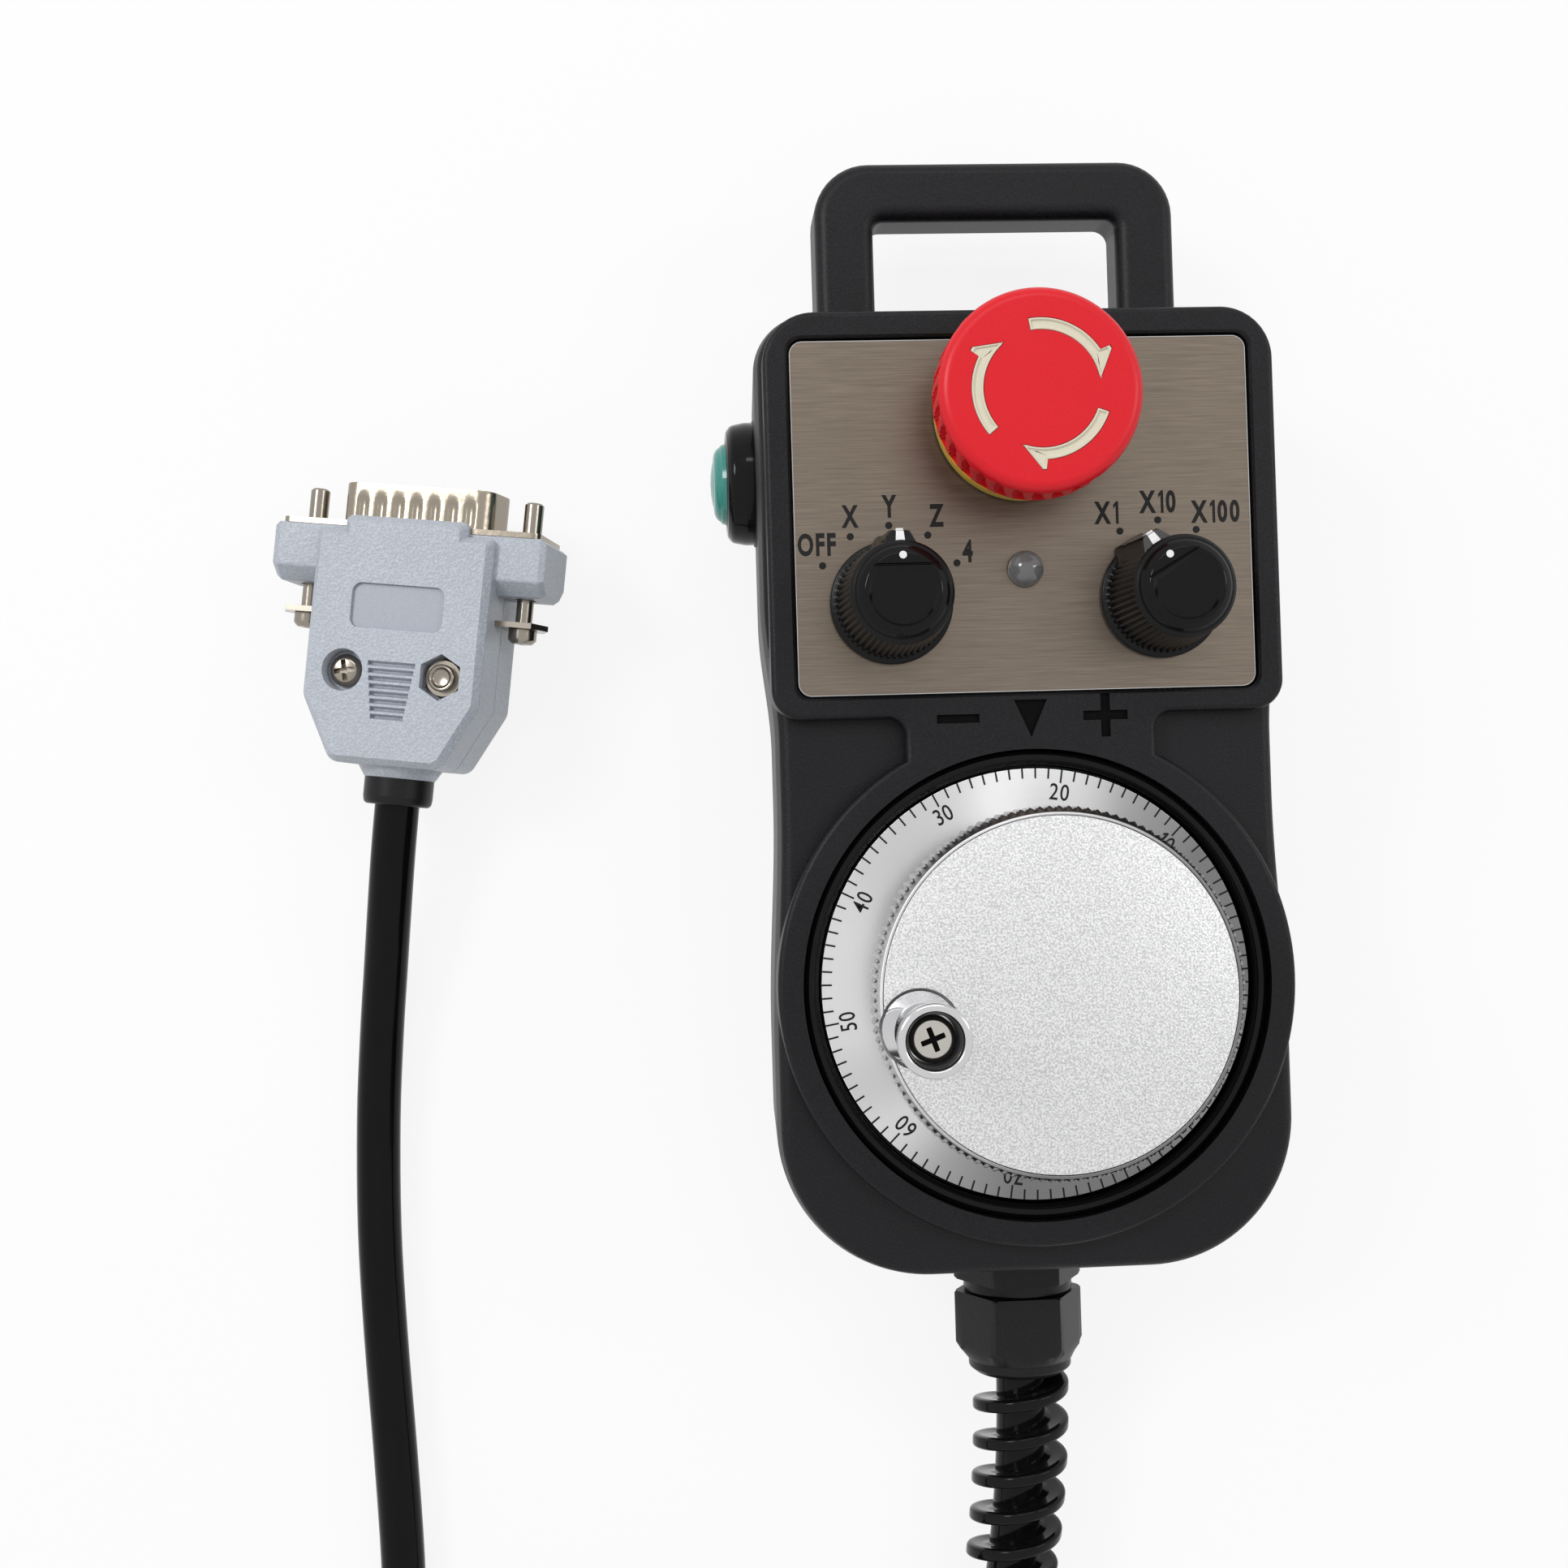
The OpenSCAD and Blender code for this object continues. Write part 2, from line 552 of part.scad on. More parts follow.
// ---- stop button ----
stop_top = plate_z + stop_h;
head_z = stop_top - 7.6;                        // underside of the mushroom
barrel_top = plate_z + collar_h + 0.9;
barrel_low = cover_t + (front_z - cover_t) * 0.345;
block_h = barrel_low - cover_t - 1.5;           // contact block, clear of the rear cover
chamber = [barrel_low + 3, front_z + 1.5];
module at_stop(z = 0) { translate([0, stop_y, z]) children(); }
module stop_head() {
  color([0.85, 0.07, 0.1]) at_stop() difference() {
    rotate_extrude($fn = 96) polygon(concat([[0, head_z + 1], [stop_r - 3.5, head_z + 1],
      [stop_r - 2.5, head_z], [stop_r - 0.3, head_z], [stop_r, head_z + 0.4],
      [stop_r, stop_top - 3.9]],
      [for (a = [15 : 15 : 75]) [stop_r - 3.4 + 3.4 * cos(a), stop_top - 3.7 + 3.3 * sin(a)]],
      [[stop_r - 3.4, stop_top - 0.25], [stop_r - 5.6, stop_top - 0.06], [0, stop_top]]));
    for (i = [0 : stop_notches - 1]) rotate(360 * i / stop_notches)
      translate([stop_r + 0.45, 0, head_z - 1]) cylinder(r = 0.95, h = 5, $fn = 16);
    arrows_2d(0.15, stop_top - 0.9, 3);
    translate([0, 0, head_z - 1]) cylinder(r = 3.5 + run, h = 5.2, $fn = 48);
  }
}
function polar(r, a) = [r * cos(a), r * sin(a)];
function arrow(d) = concat([for (a = [99.8 + 6 * d : -7.5 : 31]) polar(9.3 + d, a)],
  [polar(10.6 + 1.5 * d, 30.2 + 2 * d), polar(7.95, 8.7 - 12 * d)],
  [for (a = [20 : 8 : 92]) polar(7.75 - d, a)], [polar(7.75 - d, 99.8 + 7 * d)]);
module arrows_2d(d, z, h) {
  for (k = [0, 120, 240]) rotate(-k) translate([0, 0, z]) linear_extrude(h) polygon(arrow(d));
}
module stop_arrows() { color([0.9, 0.87, 0.78]) at_stop() arrows_2d(0, stop_top - 0.9, 0.5); }
collar_lift = plate_drop + 0.1;               // the collar's disc passes over the frame
collar_foot = plate_y + plate_h / 2 - stop_y - 0.1;
module stop_collar() {
  color([0.85, 0.7, 0.15]) at_stop(plate_z) difference() {
    rotate_extrude($fn = 96) polygon([[0, 0], [collar_foot, 0], [collar_foot, collar_lift],
      [collar_r, collar_lift], [collar_r, collar_h - 0.6], [collar_r - 0.6, collar_h],
      [0, collar_h]]);
    translate([0, 0, -1]) cylinder(r = barrel_r + 0.1, h = collar_h + 2);
  }
}
module stop_barrel() {
  color([0.12, 0.12, 0.12]) at_stop() difference() {
    union() {
      translate([0, 0, barrel_low]) cylinder(r = barrel_r, h = barrel_top - barrel_low);
      translate([0, 0, barrel_top - 0.9]) cylinder(r = barrel_r + 1.5, h = 0.9);
    }
    translate([0, 0, barrel_low - 1]) cylinder(r = 3.5 + run, h = 60, $fn = 48);
    translate([0, 0, chamber[0]]) cylinder(r = 6.2, h = chamber[1] - chamber[0]);
  }
}
collar_z = chamber[1] - 2.2;
module stop_stem() {
  color([0.15, 0.15, 0.16]) at_stop() {
    translate([0, 0, barrel_low + stop_travel * 0.3])
      cylinder(r = 3.5, h = head_z + 4 - barrel_low - stop_travel * 0.3, $fn = 48);
    translate([0, 0, collar_z]) cylinder(r = 5.8, h = 2, $fn = 48);
  }
}
// compression spring from z = 0 to z = h, with its wire's radius and its mean radius
module spring(h, mean, wire, turns, seg = 14) {
  lift = (h - 2 * wire) / (turns * seg);
  loft([for (i = [0 : turns * seg]) let (a = 360 * i / seg)
    [for (k = [0 : 5]) let (q = mean + wire * cos(-60 * k)) [q * cos(a), q * sin(a),
      wire + i * lift + wire * sin(-60 * k)]]]);
}
module stop_spring() {
  color([0.7, 0.7, 0.7]) at_stop(chamber[0] + 0.05)
    spring(collar_z - chamber[0] - 0.1, 4.9, 0.5, 6);
}
module stop_nut() {
  color([0.2, 0.2, 0.2]) at_stop(front_z - 3) difference() {
    hexagon(20, 3);
    translate([0, 0, -1]) cylinder(r = barrel_r + run, h = 5);
  }
}
module contact_block() {
  color([0.15, 0.15, 0.16]) at_stop(barrel_low - block_h) difference() {
    translate([-10, -9, 0]) cube([20, 18, block_h]);
    for (s = [-1, 1]) translate([s * 6, 5.5, -1]) cylinder(r = 1.8, h = 3, $fn = 24);
    translate([0, 0, block_h - stop_travel]) cylinder(r = 3.9, h = stop_travel + 1, $fn = 48);
  }
}

// ---- selector knobs ----
knob_turn = [0, 30];                          // rest positions: Y, and X1
knob_low = plate_z + 0.3;
module knob(turn) {
  top = plate_z + knob_h - 1.5;
  rotate(turn) difference() {
    union() {
      translate([0, 0, knob_low]) cylinder(r = skirt_r, h = 1);
      translate([0, 0, knob_low + 1]) linear_extrude(top - knob_low - 1.5,
        scale = knob_top_r / knob_foot_r) polygon(teeth(knob_foot_r, 0.35, 54));
      translate([0, 0, top - 0.7]) cylinder(r1 = knob_top_r - 0.2, r2 = cap_r + 0.2, h = 0.7);
      pointer(top - 0.6);
    }
    translate([0, 0, knob_low - 1]) cylinder(r = 6.7, h = bush_h + 1);
    translate([0, 0, knob_low]) cylinder(r = shaft_bore, h = top - knob_low - 2, $fn = 48);
  }
}
shaft_bore = 3 + 0.02;
module pointer(top) {
  intersection() {
    translate([0, 0, knob_low]) linear_extrude(top - knob_low) polygon([[-2.9, 5],
      [-1.4, skirt_r + 0.1], [1.4, skirt_r + 0.1], [2.9, 5]]);
    translate([-4, 0, knob_low]) rotate([90, 0, 90]) linear_extrude(8)
      polygon([[0, 0], [skirt_r + 0.1, 0], [skirt_r + 0.1, top - knob_low - 1.4],
        [skirt_r - 1, top - knob_low], [0, top - knob_low]]);
  }
}
module knob_cap(turn) {
  top = plate_z + knob_h;
  rotate(turn) difference() {
    rotate_extrude($fn = 64) polygon([[0, top - 1.5], [cap_r, top - 1.5], [cap_r, top - 0.4],
      [cap_r - 0.4, top], [0, top]]);
    translate([0, 0, top - 0.3]) cylinder(r = cap_r - 0.8, h = 1);
    intersection() {
      translate([0, 0, top - 0.8]) cylinder(r1 = cap_r - 1.8, r2 = cap_r - 1.2, h = 1);
      translate([-8, -8, top - 2]) cube([16, 11.1, 4]);
    }
  }
}
bush_h = 2.5;                                // bushing above the plate
switch_z = front_z - 2.2;                     // face of the rotary switches
module switch_shaft() {
  translate([0, 0, switch_z - 8]) cylinder(r = 3, h = knob_h + plate_z - 4 - switch_z + 8,
    $fn = 48);
}
module rotary_switch() {
  difference() {
    union() {
      translate([0, 0, switch_z - 13]) cylinder(r = switch_r, h = 13);
      translate([0, 0, switch_z]) cylinder(r = 4.5, h = plate_z + bush_h - switch_z, $fn = 48);
      translate([0, 0, switch_z]) cylinder(r = 7, h = front_z - switch_z, $fn = 48);
      for (a = [15 : 30 : 345]) rotate(a) translate([switch_r - 2.5, -0.6, switch_z - 16])
        cube([0.8, 1.2, 3.2]);
    }
    translate([0, 0, switch_z - 9]) cylinder(r = 3 + run, h = 40, $fn = 48);
  }
}
module axis_knob() { color([0.04, 0.04, 0.04]) translate([-knob_x, knob_y, 0]) knob(knob_turn[0]); }
module axis_cap() { color([0.02, 0.02, 0.02]) translate([-knob_x, knob_y, 0]) knob_cap(knob_turn[0]); }
module axis_shaft() { color([0.7, 0.7, 0.72]) translate([-knob_x, knob_y, 0]) switch_shaft(); }
module axis_switch() { color([0.2, 0.2, 0.22]) translate([-knob_x, knob_y, 0]) rotary_switch(); }
module multiplier_knob() {
  color([0.04, 0.04, 0.04]) translate([knob_x, knob_y, 0]) knob(knob_turn[1]);
}
module multiplier_cap() {
  color([0.02, 0.02, 0.02]) translate([knob_x, knob_y, 0]) knob_cap(knob_turn[1]);
}
module multiplier_shaft() { color([0.7, 0.7, 0.72]) translate([knob_x, knob_y, 0]) switch_shaft(); }
module multiplier_switch() {
  color([0.2, 0.2, 0.22]) translate([knob_x, knob_y, 0]) rotary_switch();
}
module switch_nuts() {
  color([0.7, 0.7, 0.72]) both() translate([0, 0, plate_z]) difference() {
    hexagon(10.8, 1.8);
    translate([0, 0, -1]) cylinder(r = 4.5 + run, h = 4, $fn = 48);
  }
}

// ---- indicator ----
module lamp() {
  color([0.9, 0.9, 0.9, 0.5]) translate([0, lamp_y, 0]) {
    rotate_extrude($fn = 48) polygon(concat([[0, plate_back - 2.5], [lamp_r + 0.4, plate_back - 2.5],
      [lamp_r + 0.4, plate_back - 1.5], [lamp_r, plate_back - 1.5]],
      [for (a = [0 : 15 : 90]) [lamp_r * cos(a), plate_z + 0.5 + lamp_r * sin(a)]]));
    for (s = [-1, 1]) translate([s * 1.27 - 0.25, -0.25, plate_back - 10]) cube([0.5, 0.5, 8]);
  }
}
module lamp_holder() {
  color([0.1, 0.1, 0.1]) translate([0, lamp_y, front_z - 1]) difference() {
    union() {
      cylinder(r = lamp_r + 1.4, h = plate_back - front_z + 1, $fn = 48);
      cylinder(r = lamp_r + 2.4, h = 1, $fn = 48);
    }
    translate([0, 0, -1]) cylinder(r = lamp_r + 0.5, h = 9, $fn = 48);
  }
}

// ---- enable button, built along +Z and laid on the left wall ----
module at_button() {
  translate([-side_x, button_y, button_z]) rotate([0, -90, 0]) children();
}
button_floor = -8;                            // seat of the return spring
module button_bezel() {
  color([0.06, 0.06, 0.06]) at_button() difference() {
    union() {
      rotate_extrude($fn = 96) polygon(concat([[0, 0], [button_r - 0.3, 0],
        [button_r - 0.3, 0.5], [button_r, 0.6], [button_r, 0.9]],
        [for (a = [12 : 12 : 60]) [button_r - (button_r - 6.4) * (1 - cos(a)) * 2,
          0.9 + (button_out - 0.9) * sin(a) / sin(60)]], [[0, button_out]]));
      translate([0, 0, -14]) cylinder(r = button_cap_r - 0.05, h = 14.5);
    }
    translate([0, 0, 0.6]) cylinder(r = button_cap_r + 0.1, h = 9);
    translate([0, 0, button_floor]) cylinder(r = 5.2, h = 9, $fn = 48);
    translate([0, 0, -15]) cylinder(r = 4 + run, h = 20, $fn = 48);
  }
}
module button_cap() {
  color([0.1, 0.5, 0.42]) at_button() {
    rotate_extrude($fn = 64) polygon(concat([[0, button_travel + 0.9],
      [button_cap_r, button_travel + 0.9], [button_cap_r, button_out]],
      [for (a = [15 : 15 : 90]) [button_cap_r * cos(a), button_out + cap_dome * sin(a)]]));
    translate([0, 0, -9]) cylinder(r = 4, h = button_travel + 10, $fn = 48);
  }
}
module button_spring() {
  color([0.7, 0.7, 0.7]) at_button() translate([0, 0, button_floor + 0.05])
    spring(button_travel + 0.9 - button_floor - 0.1, 4.6, 0.35, 6);
}
module button_nut() {
  color([0.2, 0.2, 0.2]) at_button() translate([0, 0, -wall - 3]) difference() {
    rotate(30) hexagon(15, 3);
    translate([0, 0, -1]) cylinder(r = button_cap_r, h = 5);
  }
}
module button_switch() {
  color([0.12, 0.12, 0.13]) at_button() {
    translate([-6.5, -6.5, -22.5]) cube([13, 13, 8.4]);
    translate([0, 0, -14.2]) cylinder(r = 2, h = 14.2 - 9 - button_travel - air, $fn = 32);
    for (s = [-1, 1]) translate([s * 4 - 0.3, -1, -26]) cube([0.6, 2, 3.6]);
  }
}

// ---- cable gland, built along +Z and laid on the foot wall, pointing out ----
module at_gland(s = 0) {
  translate([0, -foot_y, gland_z]) rotate([90, 0, 0]) translate([0, 0, s]) children();
}
nut_s = 7;
mouth_s = nut_s + 12;
module gland_body() {
  color([0.05, 0.05, 0.05]) at_gland() difference() {
    union() {
      translate([0, 0, 1.2]) hexagon(gland_af, 4);
      translate([0, 0, 5.2]) cylinder(r = gland_af / 2 - 0.2, h = 1.6);
      translate([0, 0, 6.8]) cylinder(r = 6.6, h = 5.5);
      translate([0, 0, -7.5]) cylinder(r = gland_thread_r, h = 9);
    }
    translate([0, 0, -9]) cylinder(r = cable_r + 0.15, h = 30, $fn = 48);
  }
}
module gland_seal() {
  color([0.15, 0.15, 0.15]) at_gland() ring(gland_af / 2, gland_thread_r + run, 1.2);
}
module gland_locknut() {
  color([0.1, 0.1, 0.1]) at_gland(-wall - 4) difference() {
    hexagon(gland_af - 2, 4);
    translate([0, 0, -1]) cylinder(r = gland_thread_r + run, h = 6);
  }
}
module gland_nut() {
  color([0.05, 0.05, 0.05]) at_gland(nut_s) difference() {
    union() {
      intersection() {
        hexagon(gland_af, 10);
        rotate_extrude($fn = 96) polygon([[0, 0], [12, 0], [12, 5.6],
          [gland_af / 2 - 0.8, 10], [0, 10]]);
      }
      translate([0, 0, 9]) cylinder(r = gland_af / 2 - 0.65, h = 3);
    }
    translate([0, 0, -1]) cylinder(r = 6.6 + run, h = 6.5);
    translate([0, 0, 2]) cylinder(r = cable_r + 0.15, h = 14, $fn = 48);
  }
}
// the bend protector droops to the surface with the cable inside it
function sag_x(s) = -4.1 * pow(s / 45, 2);
function sag_z(s) = -6 * pow(s / 45, 2);
module spiral_guard() {
  seg = 18;
  n = floor((spiral_l - 2) / spiral_pitch * seg);
  root = cable_r + 0.45;
  color([0.05, 0.05, 0.05]) translate([0, root_y, gland_z])
    loft([for (i = [0 : n]) let (a = 20 + 360 * i / seg, s = 1.1 + spiral_pitch * i / seg,
      r = spiral_r - 0.05 * s, c = [sag_x(s), -s, sag_z(s)])
      [for (q = [[root, 1.05], [r - 0.5, 0.95], [r, 0.5], [r, -0.5], [r - 0.5, -0.95],
        [root, -1.05]]) [c[0] + q[0] * sin(a), c[1] + q[1], c[2] + q[0] * cos(a)]]]);
}
module cable_entry() {
  color([0.04, 0.04, 0.04]) at_gland(-12) cylinder(r = cable_r, h = mouth_s + 12, $fn = 48);
}

// ---- cable: two free stretches and a wound coil ----
coil_at = [-50, -148];
coil_turn_r = 37;

root_y = -foot_y - mouth_s;
out_route = concat([for (s = [0.3, 11, 22, 33, 44]) [sag_x(s), root_y - s, gland_z + sag_z(s)]],
  [[-5.3, -112, 5], [-5.6, -121, 3.9], [-5, -130, 3.5], [-4.2, -139, 3.4], [-3.8, -148, 3.4]]);
back_route = [[-96.2, -148, 9.9], [-95.9, -138, 9], [-95.2, -128, 6.8], [-94.4, -118, 4.6],
  [-93.8, -108, 3.5], [-93.5, -98, 3.4], [-93.5, -86, 3.4], [-94.2, -70, 3.4],
  [-95.2, -52, 3.4], [-95.7, -36, 3.4], [-95.4, -20, 3.5], [-94.5, -7, 4.2], [-93.4, 3, 6],
  [-92.4, 11, 8.3], [-91.3, 20, 10.4], [-90.4, 27.5, 11], [-89.9, 31.5, 11]];
function unit(v) = v / norm(v);
function spline(p, i, t) = let (a = p[max(i - 1, 0)], b = p[i], c = p[i + 1],
  d = p[min(i + 2, len(p) - 1)]) 0.5 * (2 * b + (c - a) * t + (2 * a - 5 * b + 4 * c - d) * t * t
  + (3 * b - a - 3 * c + d) * t * t * t);
function smooth(p, n) = concat([for (i = [0 : len(p) - 2], k = [0 : n - 1])
  spline(p, i, k / n)], [p[len(p) - 1]]);
module tube(route, r, sides = 10) {
  m = len(route);
  loft([for (i = [0 : m - 1]) let (t = unit(route[min(i + 1, m - 1)] - route[max(i - 1, 0)]),
    u = unit(cross([0, 0, 1], t)), v = cross(t, u))
    [for (k = [0 : sides - 1]) let (a = 360 * (k + 0.5) / sides)
      route[i] + r * (cos(a) * u + sin(a) * v)]]);
}
module cable_out() { color([0.04, 0.04, 0.04]) tube(smooth(out_route, 2), cable_r); }
module cable_return() { color([0.04, 0.04, 0.04]) tube(smooth(back_route, 2), cable_r); }
module cable_coil() {
  color([0.04, 0.04, 0.04]) translate([coil_at[0], coil_at[1], 0]) rotate_extrude($fn = 96)
    translate([coil_turn_r - 12.4, 0]) square([24.8, 4 * cable_r]);
}

// ---- plug, built with its cable end at the origin and laid on the surface ----
plug_at = [-90.4, 27.5, 11];
plug_roll = -12;
plug_turn = -7;
module at_plug(v = 0) {
  translate(plug_at) rotate([0, 0, plug_turn]) rotate([0, plug_roll, 0])
    translate([0, v, 0]) children();
}
hood_v = 4;                                   // cable end of the hood's neck
flange_v = hood_v + hood_l;                   // face that the metal flange sits on
ear_v = flange_v - 8.4;
ear_t = flange_h / 2;
body_u = hood_body_w / 2;
fix_v = hood_v + 15;                          // hood screws
fix_u = 7.4;
module plate_uv(w0, w1) { translate([0, 0, w0]) linear_extrude(w1 - w0) children(); }
module hood_body_2d(d) {
  polygon([[-8.4 + d, hood_v + 1.6 + d], [8.4 - d, hood_v + 1.6 + d],
    [body_u - d, hood_v + 11 + d / 2], [body_u - d, flange_v], [d - body_u, flange_v],
    [d - body_u, hood_v + 11 + d / 2]]);
}
module ears() {
  rotate([90, 0, 90]) translate([0, 0, -hood_w / 2]) linear_extrude(hood_w)
    polygon([[ear_v, ear_t - 2.5], [ear_v, -ear_t + 2.5], [ear_v + 2, -ear_t],
      [flange_v, -ear_t], [flange_v, ear_t], [ear_v + 2, ear_t]]);
}
module hood_solid() {
  half = hood_t / 2;
  plate_uv(-half + 0.8, half - 0.8) hood_body_2d(0);
  for (s = [-1, 1]) plate_uv(s > 0 ? half - 0.8 : -half, s > 0 ? half : 0.8 - half)
    hood_body_2d(0.7);
  ears();
  for (s = [-1, 1]) plate_uv(s > 0 ? ear_t + 0.1 : -half + 0.4, s > 0 ? half - 0.4 : -ear_t - 0.1)
    translate([-11.8, flange_v - 6]) square([23.6, 8.2]);
  translate([0, hood_v + 1.6, 0]) rotate([90, 0, 0]) cylinder(r1 = 6.2, r2 = 5.2, h = 1.6);
  translate([0, hood_v + 4, 0]) rotate([90, 0, 0]) cylinder(r = 6.2, h = 2.4);
}
module hood_hollow() {
  plate_uv(-hood_t / 2 + 1.8, hood_t / 2 - 1.8) polygon([[-6, hood_v + 5], [6, hood_v + 5],
    [body_u - 1.6, hood_v + 12], [body_u - 1.6, flange_v + 1], [1.6 - body_u, flange_v + 1],
    [1.6 - body_u, hood_v + 12]]);
  translate([0, hood_v + 8, 0]) rotate([90, 0, 0]) cylinder(r = cable_r + 0.2, h = 14, $fn = 48);
  for (s = [-1, 1]) translate([s * jack_pitch / 2, flange_v + 1, 0]) rotate([90, 0, 0])
    cylinder(r = jack_r + 0.15, h = 12, $fn = 32);
}
module fix_posts(r) {
  for (s = [-1, 1]) translate([s * fix_u, fix_v, -hood_t / 2 + 1])
    cylinder(r = r, h = hood_t - 2, $fn = 32);
}
module hood() {
  difference() {
    union() {
      difference() { hood_solid(); hood_hollow(); }
      fix_posts(3.7);
    }
    fix_posts(1.5);
    for (s = [-1, 1]) translate([s * fix_u, fix_v, 0]) {
      translate([0, 0, -s * (hood_t / 2 + 1)]) mirror([0, 0, s > 0 ? 0 : 1])
        cylinder(r = 3, h = 3.4);
      translate([0, 0, s * (hood_t / 2 + 1)]) mirror([0, 0, s > 0 ? 1 : 0])
        rotate(30) hexagon(5.7, 3.6);
    }
    translate([0, 0, hood_t / 2 - 0.6]) {
      translate([0, hood_v + 24.6, 0]) linear_extrude(2) polygon(rrect(7, -3.3, 3.3, 1.4, 1.4));
      for (k = [0 : 7]) let (v = hood_v + 8.3 + k * 1.1, w = 2.5 + 1.1 * k / 7)
        translate([-w, v, 0]) cube([2 * w, 0.6, 2]);
    }
  }
}
module hood_front() {
  color([0.6, 0.64, 0.69]) at_plug() intersection() {
    hood();
    translate([-30, 0, 0]) cube([60, 60, 20]);
  }
}
module hood_back() {
  color([0.6, 0.64, 0.69]) at_plug() intersection() {
    hood();
    translate([-30, 0, -20]) cube([60, 60, 20]);
  }
}
module hood_fasteners() {
  color([0.65, 0.62, 0.55]) at_plug() for (s = [-1, 1]) translate([s * fix_u, fix_v, 0])
    mirror([0, 0, s > 0 ? 1 : 0]) difference() {
      union() {
        translate([0, 0, 3.0 - hood_t / 2]) cylinder(r = 1.4, h = hood_t - 6, $fn = 32);
        translate([0, 0, hood_t / 2 - 2.4]) cylinder(r = 2.4, h = 1.6, $fn = 32);
        translate([0, 0, hood_t / 2 - 3.1]) cylinder(r = 1.4, h = 1.6, $fn = 32);
        translate([0, 0, 1.2 - hood_t / 2]) cylinder(r = 1.4, h = 2, $fn = 32);
      }
      for (a = [0, 90]) rotate(a) translate([-1.3, -0.3, hood_t / 2 - 1.5]) cube([2.6, 0.6, 2]);
    }
  color([0.65, 0.62, 0.55]) at_plug() for (s = [-1, 1]) translate([s * fix_u, fix_v, 0])
    mirror([0, 0, s > 0 ? 1 : 0]) translate([0, 0, 2.6 - hood_t / 2]) mirror([0, 0, 1])
      difference() {
        rotate(30) hexagon(5.5, 1.7);
        translate([0, 0, -1]) cylinder(r = 1.4 + run, h = 4, $fn = 32);
      }
}
module cable_collar() {
  color([0.04, 0.04, 0.04]) at_plug(hood_v) rotate([90, 0, 0]) ring(5.1, cable_r + 0.1, hood_v);
}
function d_shape(w, h, r) = let (k = h / 2 * tan(10), a = w / 2, b = h / 2)
  [[-a, -b, r], [a, -b, r], [a - 2 * k, b, r], [2 * k - a, b, r]];
module d_outline(w, h, r) {
  k = h * tan(10);
  hull() for (s = [-1, 1]) {
    translate([s * (w / 2 - r), r - h / 2]) circle(r = r, $fn = 32);
    translate([s * (w / 2 - r - k + r * tan(10)), h / 2 - r]) circle(r = r, $fn = 32);
  }
}
shell_out = 6;
flange_t = 0.8;
module plug_shell() {
  color([0.72, 0.68, 0.6]) at_plug(flange_v) rotate([90, 0, 0]) mirror([0, 0, 1]) difference() {
    union() {
      linear_extrude(flange_t) polygon(rrect(flange_w / 2, -flange_h / 2, flange_h / 2, 1, 1));
      linear_extrude(flange_t + shell_out) d_outline(shell_w, shell_h, 2.5);
    }
    translate([0, 0, -1]) linear_extrude(shell_out + 4)
      d_outline(shell_w - 1, shell_h - 1, 2);
    for (s = [-1, 1]) translate([s * jack_pitch / 2, 0, -1])
      cylinder(r = jack_r + 0.15, h = 4, $fn = 32);
  }
}
module plug_insert() {
  color([0.1, 0.1, 0.1]) at_plug(flange_v) rotate([90, 0, 0]) mirror([0, 0, 1]) {
    linear_extrude(flange_t + 0.6) d_outline(shell_w - 1.1, shell_h - 1.1, 2);
    translate([0, 0, -4]) linear_extrude(4) d_outline(shell_w - 3, shell_h - 1.1, 2);
    for (i = [0 : 7]) translate([(i - 3.5) * 2.74, -1.42, -8]) cylinder(r = 0.5, h = 13.5, $fn = 16);
    for (i = [0 : 6]) translate([(i - 3) * 2.74, 1.42, -8]) cylinder(r = 0.5, h = 13.5, $fn = 16);
  }
}
clip_v = ear_v - 4.4;
clip_in = jack_pitch / 2 - body_u - 0.05;      // reaches the hood's flank
jack_tip = 6;                                 // reach past the flange face
jack_grip = 5;                                // full thread at the tip
jack_relief = 0.17;                           // thinner neck that keeps the screw captive
module clips() {
  color([0.75, 0.73, 0.68]) at_plug(clip_v) for (s = [-1, 1])
    translate([s * jack_pitch / 2, 0, 0]) rotate([-90, 0, 0]) difference() {
      linear_extrude(0.8) polygon([[-clip_in * s, -3.6], [2.2 * s, -3.6], [3.8 * s, 0],
        [2.2 * s, 3.6], [-clip_in * s, 3.6]]);
      translate([0, 0, -1]) cylinder(r = jack_r + run, h = 3, $fn = 32);
    }
}
module jackscrew(s) {
  color([0.75, 0.73, 0.68]) at_plug(clip_v) translate([s * jack_pitch / 2, 0, 0])
    rotate([-90, 0, 0]) difference() {
      union() {
        translate([0, 0, -2.1]) cylinder(r = 2.1, h = 2.05, $fn = 32);
        translate([0, 0, -1]) cylinder(r = jack_r - jack_relief,
          h = flange_v - clip_v + 2 + jack_tip - jack_grip, $fn = 32);
        translate([0, 0, flange_v - clip_v + jack_tip - jack_grip])
          cylinder(r = jack_r, h = jack_grip, $fn = 32);
      }
      for (a = [0, 90]) rotate(a) translate([-1.3, -0.3, -3]) cube([2.6, 0.6, 2]);
    }
}
module jackscrew_left() { jackscrew(-1); }
module jackscrew_right() { jackscrew(1); }

